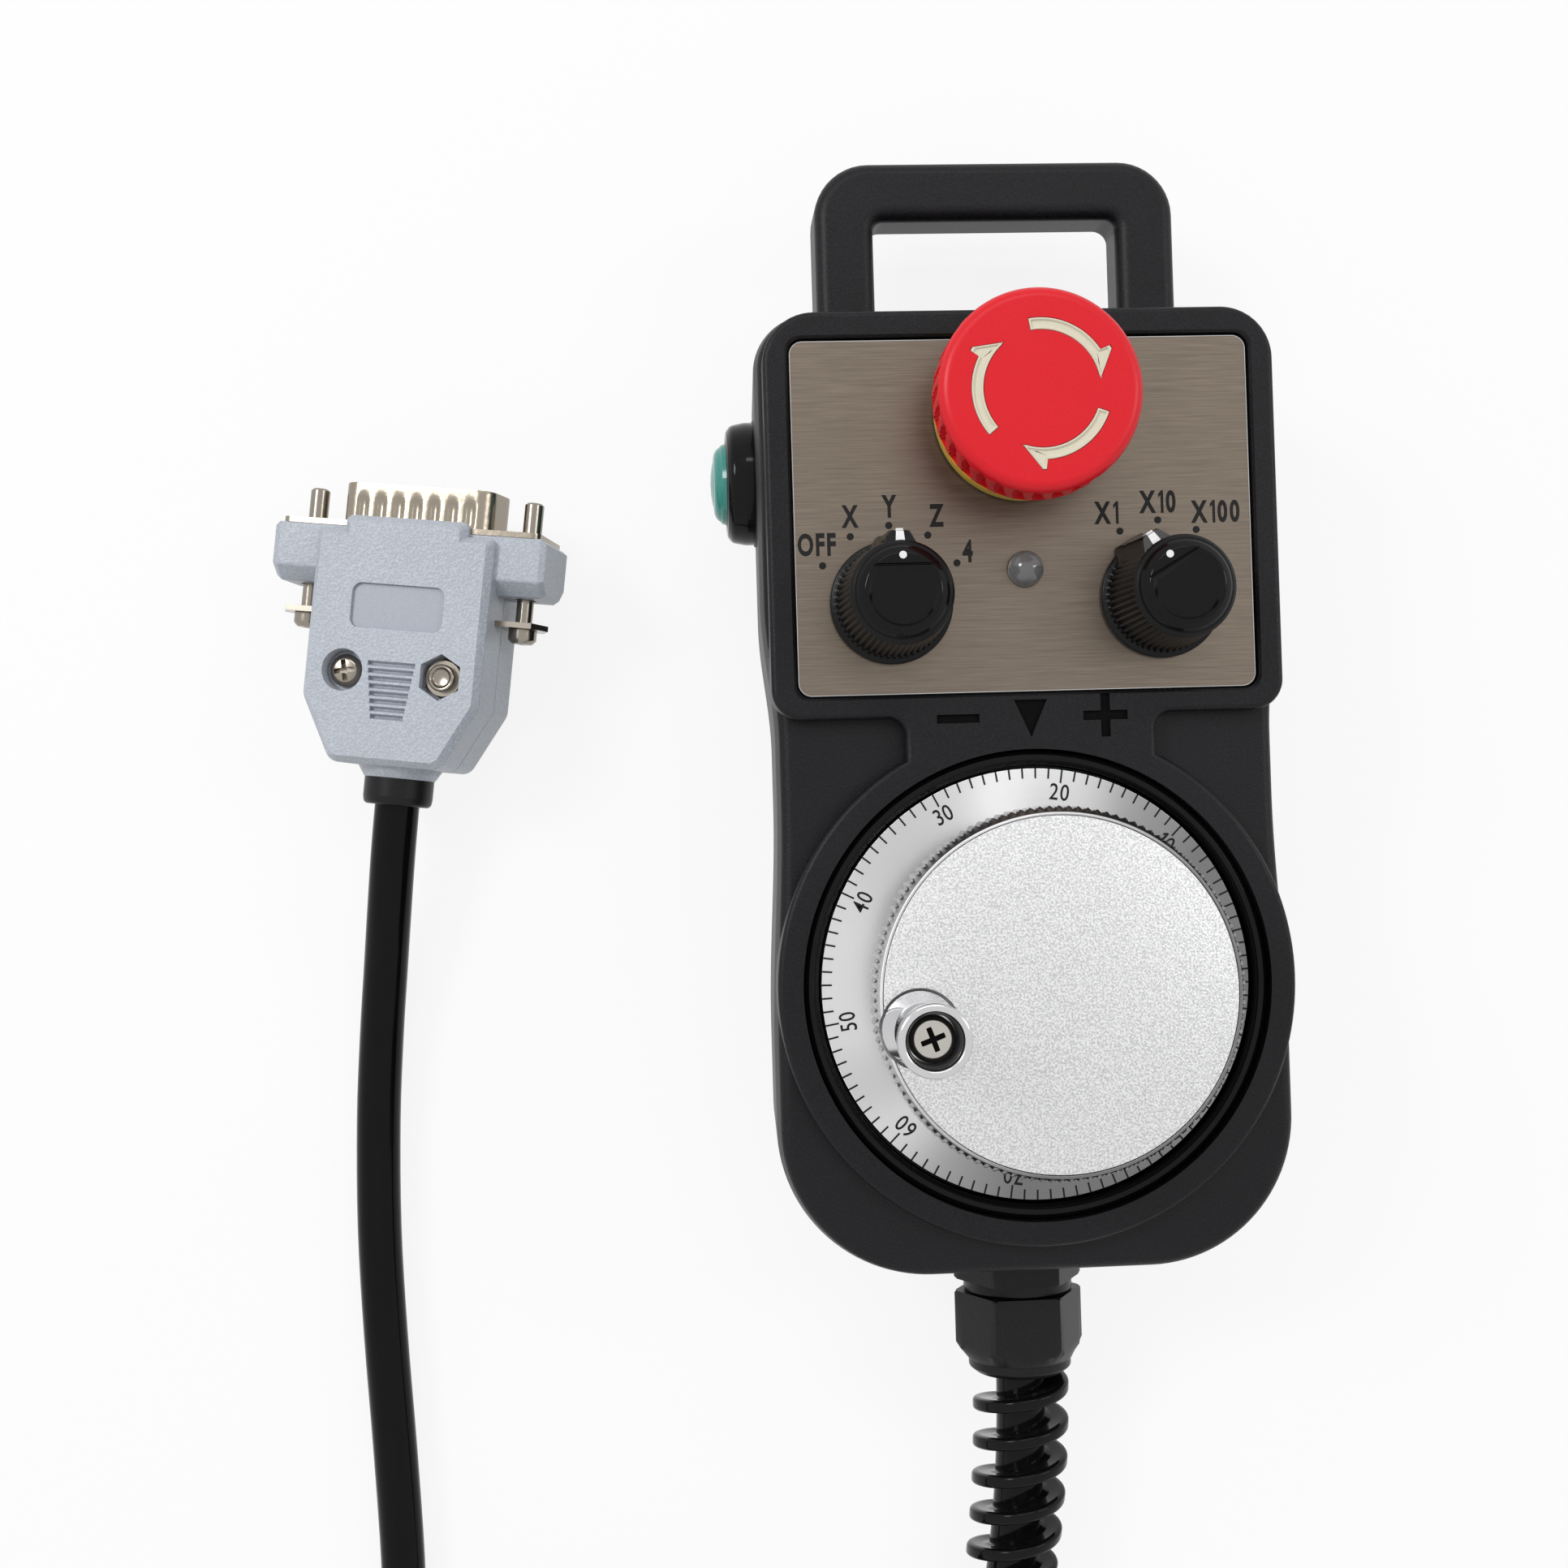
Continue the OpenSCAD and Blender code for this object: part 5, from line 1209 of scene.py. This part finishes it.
def knob_nose():
    """Rings from the foot to the sloping top: half width in front and behind."""
    rows = []
    for z, front, back, reach_out in (
            (skirt_low, 1.9, 3.7, 9.1), (skirt_low + 2.2, 1.8, 3.5, 9.0),
            (skirt_low + 3.0, 1.55, 3.0, 8.75), (cap_low - 2.2, 1.4, 2.4, 8.5),
            (cap_low - 1.4, 1.2, 2.2, 8.3)):
        plan = soft([(0, reach_out, 0), (front, reach_out, 0.5), (back, nose_from, 0.3),
                     (back, 3.5)], 3)
        plan = np.vstack([plan[::-1], plan[1:] * [-1, 1]])
        on_top = z > skirt_low + 4
        slope = nose_slope * (plan[:, 1] - nose_from) * on_top
        rows.append(np.c_[plan, z - slope + 0.6 * on_top])
    return skin(np.array(rows))


def cap_form():
    return spun([
        (0, cap_low), (6.1, cap_low), (6.15, cap_low + 0.5, 0.15), (5.8, cap_high - 0.6, 0.3),
        (5.05, cap_high, 0.5), (0, cap_high),
    ], 160, 8)


def well_plan():
    """A circle cut off by a straight line on the pointer's side."""
    a = math.degrees(math.asin(3.05 / 4.65))
    return arc(0, 0, 4.65, 180 - a, 360 + a, 60)


def sunk(plan, shrink, depth):
    """A cutter with sloping walls: the plan, smaller by a factor at the bottom."""
    centre_of = plan.mean(0)
    small = centre_of + (plan - centre_of) * shrink
    return layered([(small, cap_high - depth), (plan, cap_high), (plan, cap_high + 1)])


groove = sunk(rounded_box(4.75, 3.3, 3.65, 0.02, 0.02, 2), (0.97, 0.2), 0.2)
cap_well = sunk(well_plan(), 0.9, 0.4)


# %% Both knobs
def knob(name, x, y, turn, body):
    """One knob: body and nose, cap, white marks, all on the selector's own body."""
    core = finished(name + "_fluted", *knob_body(), 28)
    nose = finished(name + "_nose", *knob_nose(), 30)
    cap = carved(name + "_cap_gloss", cap_form(), 35, cut=[cap_well, groove])
    points, faces = slab([(-0.62, 6.9), (0.62, 6.9), (0.5, 8.25), (-0.5, 8.25)], 0, 0.05)
    height = cap_low - 0.80 - nose_slope * (points[:, 1] - nose_from) + 0.04
    stripe = points + np.outer(height, [0, 0, 1]), faces
    tip = slab([(-0.5, 8.2), (0.5, 8.2), (0.45, 8.62), (-0.45, 8.62)], cap_low - 3.6,
               cap_low - 1.55)
    white = joined(stripe, tip, moved(dot(0.5), 0, 4.7, cap_high + print_gap))
    for piece, slot_name, material, part in (
            (core, "knob_black", knob_black, [name + "_knob"]),
            (nose, "gloss_black", gloss_black, []),
            (cap, "gloss_black", gloss_black, [name + "_cap"]),
            (finished(name + "_pointer_marks", *white), "arrow_cream", mark_white, [])):
        relocate(piece, moved, x, y, 0, turn)
        dress(piece, body, slot_name, material, *part)


knob("axis", axis_x, axis_y, 0, "axis_selector")
knob("multiplier", step_x, step_y, 30, "multiplier_selector")

# %% [markdown]
# ## Lamp and enable button
# The lamp is a small clear dome over a dark grey cup. The enable button sits on the left
# wall: a glossy ring with a green cap that the holder's thumb keeps pressed.

# %% Lamp
lamp_x, lamp_y = middle("lamp")[:2]
dome = spun([(0, plate_z - 3.5), (2.5, plate_z - 3.5), (2.5, plate_z + 0.4, 0.1)]
            + [(2.5 * math.cos(a), plate_z + 0.5 + 2.3 * math.sin(a))
               for a in np.linspace(0.05, 1.5, 12)] + [(0, plate_z + 2.8)], 64, 3)
dress(finished("lamp_dome", *moved(dome, lamp_x, lamp_y), 40), "case", "lamp_clear",
      lamp_clear, "lamp")
cup = spun([(0, plate_z - 3.1), (0.9, plate_z - 3.1), (2.3, plate_z - 0.6), (2.4, plate_z - 0.6),
            (2.4, plate_z - 3.4), (0, plate_z - 3.4)], 48, 2)
dress(finished("lamp_cup", *moved(cup, lamp_x, lamp_y), 40), "case", "unit_black", lamp_grey)

# %% Enable button
cap_reach = box("button_cap")[0][0]
ring_form = spun([
    (6.0, -2), (8.9, 0.0), (8.9, 1.2, 0.3), (8.5, 3.2, 1.2), (7.4, 4.0, 1.0), (6.5, 3.7, 0.5),
    (6.0, 2.8, 0.3), (6.0, -2),
], 128, 6)
dress(finished("button_ring", *placed(hollow(ring_form), *leftwards), 40), "case",
      "gloss_black", gloss_black)
cap_top = wall_x - cap_reach
thumb = spun([(0, 2.7), (5.85, 2.7), (5.85, 3.9, 0.4), (5.0, cap_top - 0.6, 2.5),
              (0, cap_top, 6)], 96, 8)
dress(finished("thumb_cap", *placed(thumb, *leftwards), 40), "enable_cap", "button_green",
      button_green)

# %% [markdown]
# ## The cable gland
# Two hexagons with a flange ring between them. A hexagon's corners are cut back by a
# cone, so its outline is the smaller of two radii: the flat's distance along each
# direction, and the cone's radius at that height.


# %% Hexagons
def hexagonal(across, corners, columns=180, steps=4, turn=0.0):
    """A profile (limit radius, height) whose radius never exceeds the hexagon's:
    across / 2 / cos(angle to the nearest flat)."""
    def cut_back(a, r, z):
        to_flat = (a - math.radians(turn) + np.pi / 6) % (np.pi / 3) - np.pi / 6
        return np.minimum(across / 2 / np.cos(to_flat), r)
    return spun(corners, columns, steps, cut_back)


foot_wall = case_low[1]
downwards = (np.array([0, foot_wall, gland_z]), np.array([1.0, 0, 0]), np.array([0, 0, 1.0]),
             np.array([0, -1.0, 0]))
gland_across = 16.5
corner = gland_across / math.sqrt(3)
base_hex = hexagonal(gland_across, [
    (0, 1.2), (corner - 1.0, 1.2), (corner - 0.2, 1.7, 0.2), (corner, 2.0), (corner, 4.9),
    (corner - 0.3, 5.2), (0, 5.2)], turn=30)
flange = spun([(0, 5.1), (8.05, 5.1), (8.05, 6.75, 0.15), (0, 6.75)], 96)
groove_form = spun([(0, 6.7), (6.6, 6.7), (6.6, 7.4), (0, 7.4)], 64)
thread = spun([(0, -7.5), (6.2, -7.5), (6.2, 1.3), (0, 1.3)], 64)
gland_base = placed(joined(base_hex, flange, groove_form, thread), *downwards)
dress(finished("gland_base", *gland_base, 32), "case", "gland_black", nylon_black, "gland_body")
nut_form = hexagonal(gland_across, [
    (0, 7), (corner - 0.3, 7), (corner - 0.05, 7.2), (corner, 7.4), (corner, 14.6),
    (corner - 0.55, 15.5), (7.75, 17.0, 0.3), (0, 17.0)], turn=30)
nut_lip = spun([(0, 16.6), (7.6, 16.6), (7.6, 18.2, 0.5), (6.6, 19.0, 0.5), (3.9, 19.0, 0.3),
                (3.5, 18.2), (3.45, 17), (0, 17)], 96)
gland_cap = placed(joined(nut_form, nut_lip), *downwards)
dress(finished("gland_cap_nut", *gland_cap, 32), "case", "gland_black", nylon_black, "gland_nut")

# %% [markdown]
# ## The spiral guard
# The bend protector is a moulded helix with a thick rounded rim on a thin sleeve. Its
# cross-section is carried along the helix, and the whole of it droops with the cable.


# %% Spiral guard
def guard():
    """Point = droop(s) + q * (-sin a, cos a) across the cable and s + v along it, where
    (q, v) runs round the section, a is the angle and s grows by a pitch each turn. The
    strands in front climb towards the right: a right-hand helix, like a screw."""
    turns, pitch, columns, first = 7.65, 5.6, 54, 200.0
    section = soft([(3.5, 1.0), (4.6, 0.75, 1.2), (6.3, 0.95, 0.5), (7.2, 0.85, 0.65),
                    (7.2, -0.85, 0.65), (6.3, -0.95, 0.5), (4.6, -0.75, 1.2), (3.5, -1.0)], 4)
    n = int(turns * columns)
    i = np.arange(n + 1)[:, None]
    a = np.radians(first + 360 * i / columns)
    s = 1.1 + pitch * i / columns
    grow = np.clip(np.minimum(i, n - i) / (columns * 0.12), 0.35, 1)
    q, v = section[:, 0][None], section[:, 1][None]
    q = 3.5 + (q - 3.5) * grow * (1 - 0.012 * s / 7.2)
    dx, dz = droop(s + v)
    points, faces = skin(np.stack([dx - q * np.sin(a), mouth_y - s - v + 0 * a,
                                   gland_z + dz + q * np.cos(a)], -1))
    return points, [list(f)[::-1] for f in faces]


along = np.linspace(0.2, 44.6, 60)
sag = droop(along)
sleeve = carried(np.c_[sag[0], mouth_y - along, gland_z + sag[1]], 3.62, 40)
dress(finished("spiral_bend_guard", *joined(guard(), sleeve), 50), "case", "gland_black",
      gloss_black, "spiral_guard")

# %% [markdown]
# ## The connector
# The plug is drawn in its own frame: u across, v from the cable to the pins, w up
# through its front. One polygon gives the hood's plan, and its rings are made by
# moving every side inwards. Cuts make the label recess, the ribs and the screw wells.
# The hood is hood_t thick on each side of the middle, its screw and nut sit at fix_u
# and fix_v, the jackscrews at jack_u, and the flange starts at flange_v.

# %% Plug frame
plug_u = np.array([0.9708, -0.1192, 0.2079])
plug_v = np.array([0.12187, 0.99255, 0.0])
plug_frame = (np.array([-90.4, 27.5, 11.0]), plug_u, plug_v, np.cross(plug_u, plug_v))
hood_t, fix_u, fix_v, jack_u, flange_v = 8.25, 7.4, 19.0, 16.66, 40.3


def shrunk(corners, d):
    """A convex plan (x, y, radius) with every side moved inwards by d. A corner moves by
    d (n1 + n2) / (1 + n1 . n2), where n1 and n2 are the inward normals of its sides."""
    p = np.array([c[:2] for c in corners], float)
    side = np.roll(p, -1, axis=0) - p
    n2 = np.c_[-side[:, 1], side[:, 0]] / np.linalg.norm(side, axis=1)[:, None]
    n1 = np.roll(n2, 1, axis=0)
    p = p + d * (n1 + n2) / (1 + (n1 * n2).sum(1))[:, None]
    return [(*q, max(c[2] - 0.4 * d, 0.05)) for q, c in zip(p, corners)]


def rounded(corners, d=0.0, steps=6):
    """The closed outline of a plan with soft corners."""
    c = shrunk(corners, d)
    middle_point = ((c[0][0] + c[-1][0]) / 2, (c[0][1] + c[-1][1]) / 2, 0)
    return soft([middle_point] + c + [middle_point], steps)[:-1]


def in_plug(*forms):
    return placed(joined(*forms), *plug_frame)


def across_plug(form, u=0.0):
    """A spun form turned so that its axis runs along v, at u."""
    return placed(form, (u, 0, 0), (1, 0, 0), (0, 0, -1), (0, 1, 0))


def turned_over(form):
    """A form turned by half a turn about v."""
    return form[0] * [-1, 1, -1], form[1]


def stood_up(form, v=0.0):
    """A form drawn in u and w, with its height laid along v."""
    return form[0][:, [0, 2, 1]] + [0, v, 0], form[1]


def outward(form):
    """A form whose faces are turned so that its volume is positive."""
    points, faces = form
    volume = sum(points[f[0]] @ np.cross(points[f[i]], points[f[i + 1]])
                 for f in faces for i in range(1, len(f) - 1))
    return points, faces if volume > 0 else [list(f)[::-1] for f in faces]


# %% Hood
body_plan = [(-8.4, 5.6, 2.2), (8.4, 5.6, 2.2), (13.4, 15, 2.5), (13.4, 39.7, 0.9),
             (-13.4, 39.7, 0.9), (-13.4, 15, 2.5)]
shroud_plan = [(-9.3, 30, 0.1), (9.3, 30, 0.1), (9.3, 41.8, 1.0), (-9.3, 41.8, 1.0)]
front_edge = [(0, hood_t - 1.1, 0.4), (0.95, hood_t, 0.2)]
hood_body = stacked(lambda d: rounded(body_plan, d),
                    [(0.8, -hood_t, 0.25), (0, 1.0 - hood_t, 0.5)] + front_edge, 4)
shroud = stacked(lambda d: rounded(shroud_plan, d), [(0, 6.35)] + front_edge, 4)
ear_side = [(31.9, -3.75, 0.6), (33.9, -6.25, 0.6), (40.3, -6.25, 0.2), (40.3, 6.25, 0.2),
            (33.9, 6.25, 0.6), (31.9, 3.75, 0.6)]
ears = placed(stacked(lambda d: rounded(ear_side, d),
                      [(0.6, -20.7), (0, -19.9, 0.5), (0, 19.9, 0.5), (0.6, 20.7)], 3),
              (0, 0, 0), (0, 1, 0), (0, 0, 1), (1, 0, 0))
neck = across_plug(spun([(0, 4), (5.2, 4, 0.2), (6.2, 5.6, 0.3), (6.2, 8), (0, 8)], 72))
seam_line = [(-0.8, -0.1), (0.22, -0.1), (0.22, 0.1), (-0.8, 0.1), (-0.8, -0.1)]
seam_ring = hollow(layered([(rounded(body_plan, d), z) for d, z in seam_line]))
label_plan = [(-7, 25.3, 1.4), (7, 25.3, 1.4), (7, 31.9, 1.4), (-7, 31.9, 1.4)]
cuts = [slab(rounded(label_plan), hood_t - 0.6, hood_t + 1)]
for k in range(8):
    half, v = 2.5 + 1.1 * k / 7, fix_v - 6.7 + 1.1 * k
    cuts.append(layered([
        ([(-half, v + s), (half, v + s), (half, v + 0.6 - s), (-half, v + 0.6 - s)], z)
        for s, z in ((0.2, hood_t - 0.9), (-0.1, hood_t + 0.06), (-0.1, hood_t + 1))]))


def screw_well(u, side, hexed):
    if hexed:
        form = hexagonal(5.9, [(0, 5.65), (9, 5.65), (9, 10), (0, 10)], 48, 2)
    else:
        form = spun([(0, 5.85), (2.9, 5.85), (3.1, hood_t), (3.1, 10), (0, 10)], 48)
    points, faces = moved(form, u, fix_v)
    return points * [1, 1, side], faces


def jack_bores(low, high):
    """Cutters for both jackscrews, between two places on v."""
    bore = spun([(0, low), (1.57, low), (1.57, high), (0, high)], 32)
    return [across_plug(bore, s * jack_u) for s in (-1, 1)]


screw_wells = [screw_well(-fix_u, 1, False), screw_well(fix_u, 1, True),
               screw_well(-fix_u, -1, True), screw_well(fix_u, -1, False)]
hood = carved("plug_hood", outward(hood_body), 30,
              [outward(f) for f in (shroud, turned_over(shroud), ears, neck)],
              [outward(f) for f in cuts + screw_wells + jack_bores(30, 42) + [seam_ring]])
relocate(hood, placed, *plug_frame)
plug_pieces = [dress(hood, "case", "hood_grey", hood_grey, "hood_front", "hood_back")]
# The label floor is smooth, and darker than the hood as painted shade in the recess.
label = slab(rounded(label_plan, 0.03), hood_t - 0.64, hood_t - 0.56)
plug_pieces.append(dress(finished("label_floor", *in_plug(label)), "case", "hood_grey",
                         hood_smooth_shaded))
print("hood faces:", len(hood.data.polygons))

# %% Hood screws and boot
bolt_form = spun([(0, 5.3), (1.4, 5.3), (1.4, 5.85), (2.4, 5.85), (2.4, 6.7, 0.4),
                  (1.7, 7.35, 0.8), (0, 7.45, 2)], 48, 4)
nut_hex = hexagonal(5.4, [(0, 5.65), (3.3, 5.65), (3.3, 6.1), (2.6, 6.5), (1.6, 6.5),
                          (0, 6.5)], 72, 2)
rod_end = spun([(0, 6.4), (2.0, 6.4), (2.0, 7.6, 0.3), (1.6, 7.85, 0.2), (1.2, 7.3, 0.3),
                (0, 7.1)], 40, 3)
bolt = form_of(carved("hood_screw_head", moved(bolt_form, -fix_u, fix_v), cut=[
    outward(moved(f, -fix_u, fix_v)) for f in cross_slot(2.05, 0.95, 6.2, 12)]))
nuts = joined(moved(nut_hex, fix_u, fix_v), moved(rod_end, fix_u, fix_v))
fasteners = in_plug(bolt, turned_over(bolt), nuts, turned_over(nuts))
plug_pieces.append(dress(finished("hood_screws", *fasteners, 30), "case", "screw_steel",
                         screw_steel, "hood_fasteners"))
boot = across_plug(spun([(3.3, 0), (4.9, 0, 0.7), (5.1, 1.2, 1.0), (5.1, 4.0), (3.3, 4.0)], 72))
plug_pieces.append(dress(finished("cable_boot", *in_plug(boot), 35), "case", "rubber_black",
                         nylon_black, "cable_collar"))

# %% [markdown]
# The metal shell is a ring of outlines that run up its outside and down its inside.
# Its grip dents are a product of two bell curves, one across each dent and one along
# the plug. The jackscrews are turned bolts with a cross recess in the head.


# %% Metal shell with its grip dents
def shell_plan(half, deep, r=2.5):
    """The D outline: the long side is at -w, and the ends lean by ten degrees."""
    cut_in = 2 * deep * math.tan(math.radians(10))
    line = rounded([(-half, -deep, r), (half, -deep, r), (half - cut_in, deep, r),
                    (-half + cut_in, deep, r)], 0.0, 8)
    out = []
    for a, b in zip(line, np.roll(line, -1, axis=0)):
        parts = max(1, int(np.linalg.norm(b - a) / 0.28))
        out += [a + (b - a) * t / parts for t in range(parts)]
    return np.array(out)


def dented(plan, v):
    """Seven oval dents in each long side, as deep as 0.4 mm in the middle."""
    out = plan.copy()
    for k in range(-3, 4):
        near = np.exp(-((plan[:, 0] - 2.74 * k) / 0.62) ** 4)
        long = np.exp(-((v - 43.2) / 1.9) ** 6)
        flat = np.abs(plan[:, 1]) > 3.3
        out[:, 1] -= np.sign(plan[:, 1]) * 0.42 * near * long * flat
    return out


outer, inner = shell_plan(12.625, 4.18), shell_plan(12.2, 3.75, 2.1)
inner = inner[np.linspace(0, len(inner), len(outer), endpoint=False).astype(int)]
levels = [41.0, 41.3, 41.6, 41.9, 42.3, 42.8, 43.3, 43.8, 44.3, 44.7, 45.0, 45.4, 46.2, 46.9]
rows = [(outer, v) for v in levels] + [(outer * 0.994, 47.1), (inner * 1.003, 47.1)]
rows += [(inner, v) for v in levels[::-1]] + [(outer, levels[0])]
shell_form = stood_up(hollow(layered([(dented(p, v), v) for p, v in rows])))
flange_plan = [(-19.57, -6.25, 1.2), (19.57, -6.25, 1.2), (19.57, 6.25, 1.2), (-19.57, 6.25, 1.2)]
flange_disc = stood_up(slab(rounded(flange_plan), 0, 0.8), flange_v)
opening = stood_up(slab(shell_plan(12.0, 3.6, 2.0), -1, 2), flange_v)
flange_form = form_of(carved("plug_flange", outward(flange_disc),
                             cut=[outward(f) for f in [opening] + jack_bores(39, 43)]))
plug_pieces.append(dress(
    finished("plug_shell_dented", *in_plug(outward(shell_form), flange_form), 40),
    "case", "shell_nickel", shell_nickel, "plug_shell"))

# %% Jackscrews
jack_form = spun([(0, 25.4), (1.5, 25.4, 0.3), (2.1, 26.0, 0.4), (2.1, 27.45), (1.25, 27.45),
                  (1.25, 41.2), (1.42, 41.4), (1.42, 46.0), (1.1, 46.3), (0, 46.3)], 40, 4)
jack_slots = [(f[0] * [1, 1, -1] + [0, 0, 52.4], f[1]) for f in cross_slot(1.3, 0.6, 26.1)]
for s, name, body_name in ((-1, "left", "jackscrew_l"), (1, "right", "jackscrew_r")):
    jack = form_of(carved("jack", outward(across_plug(jack_form, s * jack_u)), cut=[
        outward(across_plug(f, s * jack_u)) for f in jack_slots]))
    plug_pieces.append(dress(
        finished("jackscrew_" + name + "_turned", *in_plug(jack), 30),
        body_name, "screw_steel", screw_steel, "jackscrew_" + name))

# %% [markdown]
# ## The parts that stay as they are
# Screws, springs, nuts and boards inside are plain CAD solids. They only need the
# right finish, and smooth shading up to the angle where a real edge starts.

# %% Finishes for the CAD parts
finishes = (
    (case_black, "housing rear_cover"),
    (panel_steel, "panel_plate"),
    (dial_alloy, "handwheel"),
    (disc_alloy, "hub_disc"),
    (grip_steel, "crank_grip"),
    (gloss_black, "encoder_housing axis_cap multiplier_cap lamp_holder button_bezel"),
    (knob_black, "axis_knob multiplier_knob"),
    (screw_steel, "crank_screw cover_screws encoder_screws stop_spring switch_nuts "
                  "button_spring hood_fasteners clips jackscrew_left jackscrew_right"),
    (ground_steel, "encoder_shaft encoder_bearings detent_wheel code_disc axis_shaft "
                   "multiplier_shaft"),
    (pin_gold, "detent_spring terminal_posts"),
    (board_green, "sensor_board"),
    (unit_black, "encoder_cover stop_barrel stop_stem stop_nut contact_block axis_switch "
                 "multiplier_switch button_nut button_switch gland_seal plug_insert"),
    (stop_red, "stop_head"),
    (arrow_cream, "stop_arrows"),
    (collar_yellow, "stop_collar"),
    (lamp_clear, "lamp"),
    (button_green, "button_cap"),
    (nylon_black, "gland_body gland_locknut gland_nut spiral_guard cable_collar"),
    (cable_black, "cable_entry cable_out cable_coil cable_return"),
    (hood_grey, "hood_front hood_back"),
    (shell_nickel, "plug_shell"),
)
for material, names in finishes:
    for name in names.split():
        nodes[name].data.materials.clear()
        nodes[name].data.materials.append(material)
        shade(nodes[name], 30)
print("finishes given to", sum(len(names.split()) for _, names in finishes), "parts")

# %% [markdown]
# ## Springs
# The stop and the enable button push back. For each spring the end that rests on a
# fixed part is found, and the spring gets a mesh of its own.

# %% Springs
for name, joint, along, seat, travel in (("stop_spring", "stop_press", (0, 0, 1), 0, 3.8),
                                         ("button_spring", "enable_press", (-1, 0, 0), 1, 1.8)):
    ends = np.array(box(name))
    axis = int(np.argmax(np.abs(along)))
    anchor = ends.mean(0)
    anchor[axis] = ends[seat, axis]
    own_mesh(nodes[name])

# %% The plug's parts as one list
[nodes["plug_insert"], nodes["clips"]] + plug_pieces
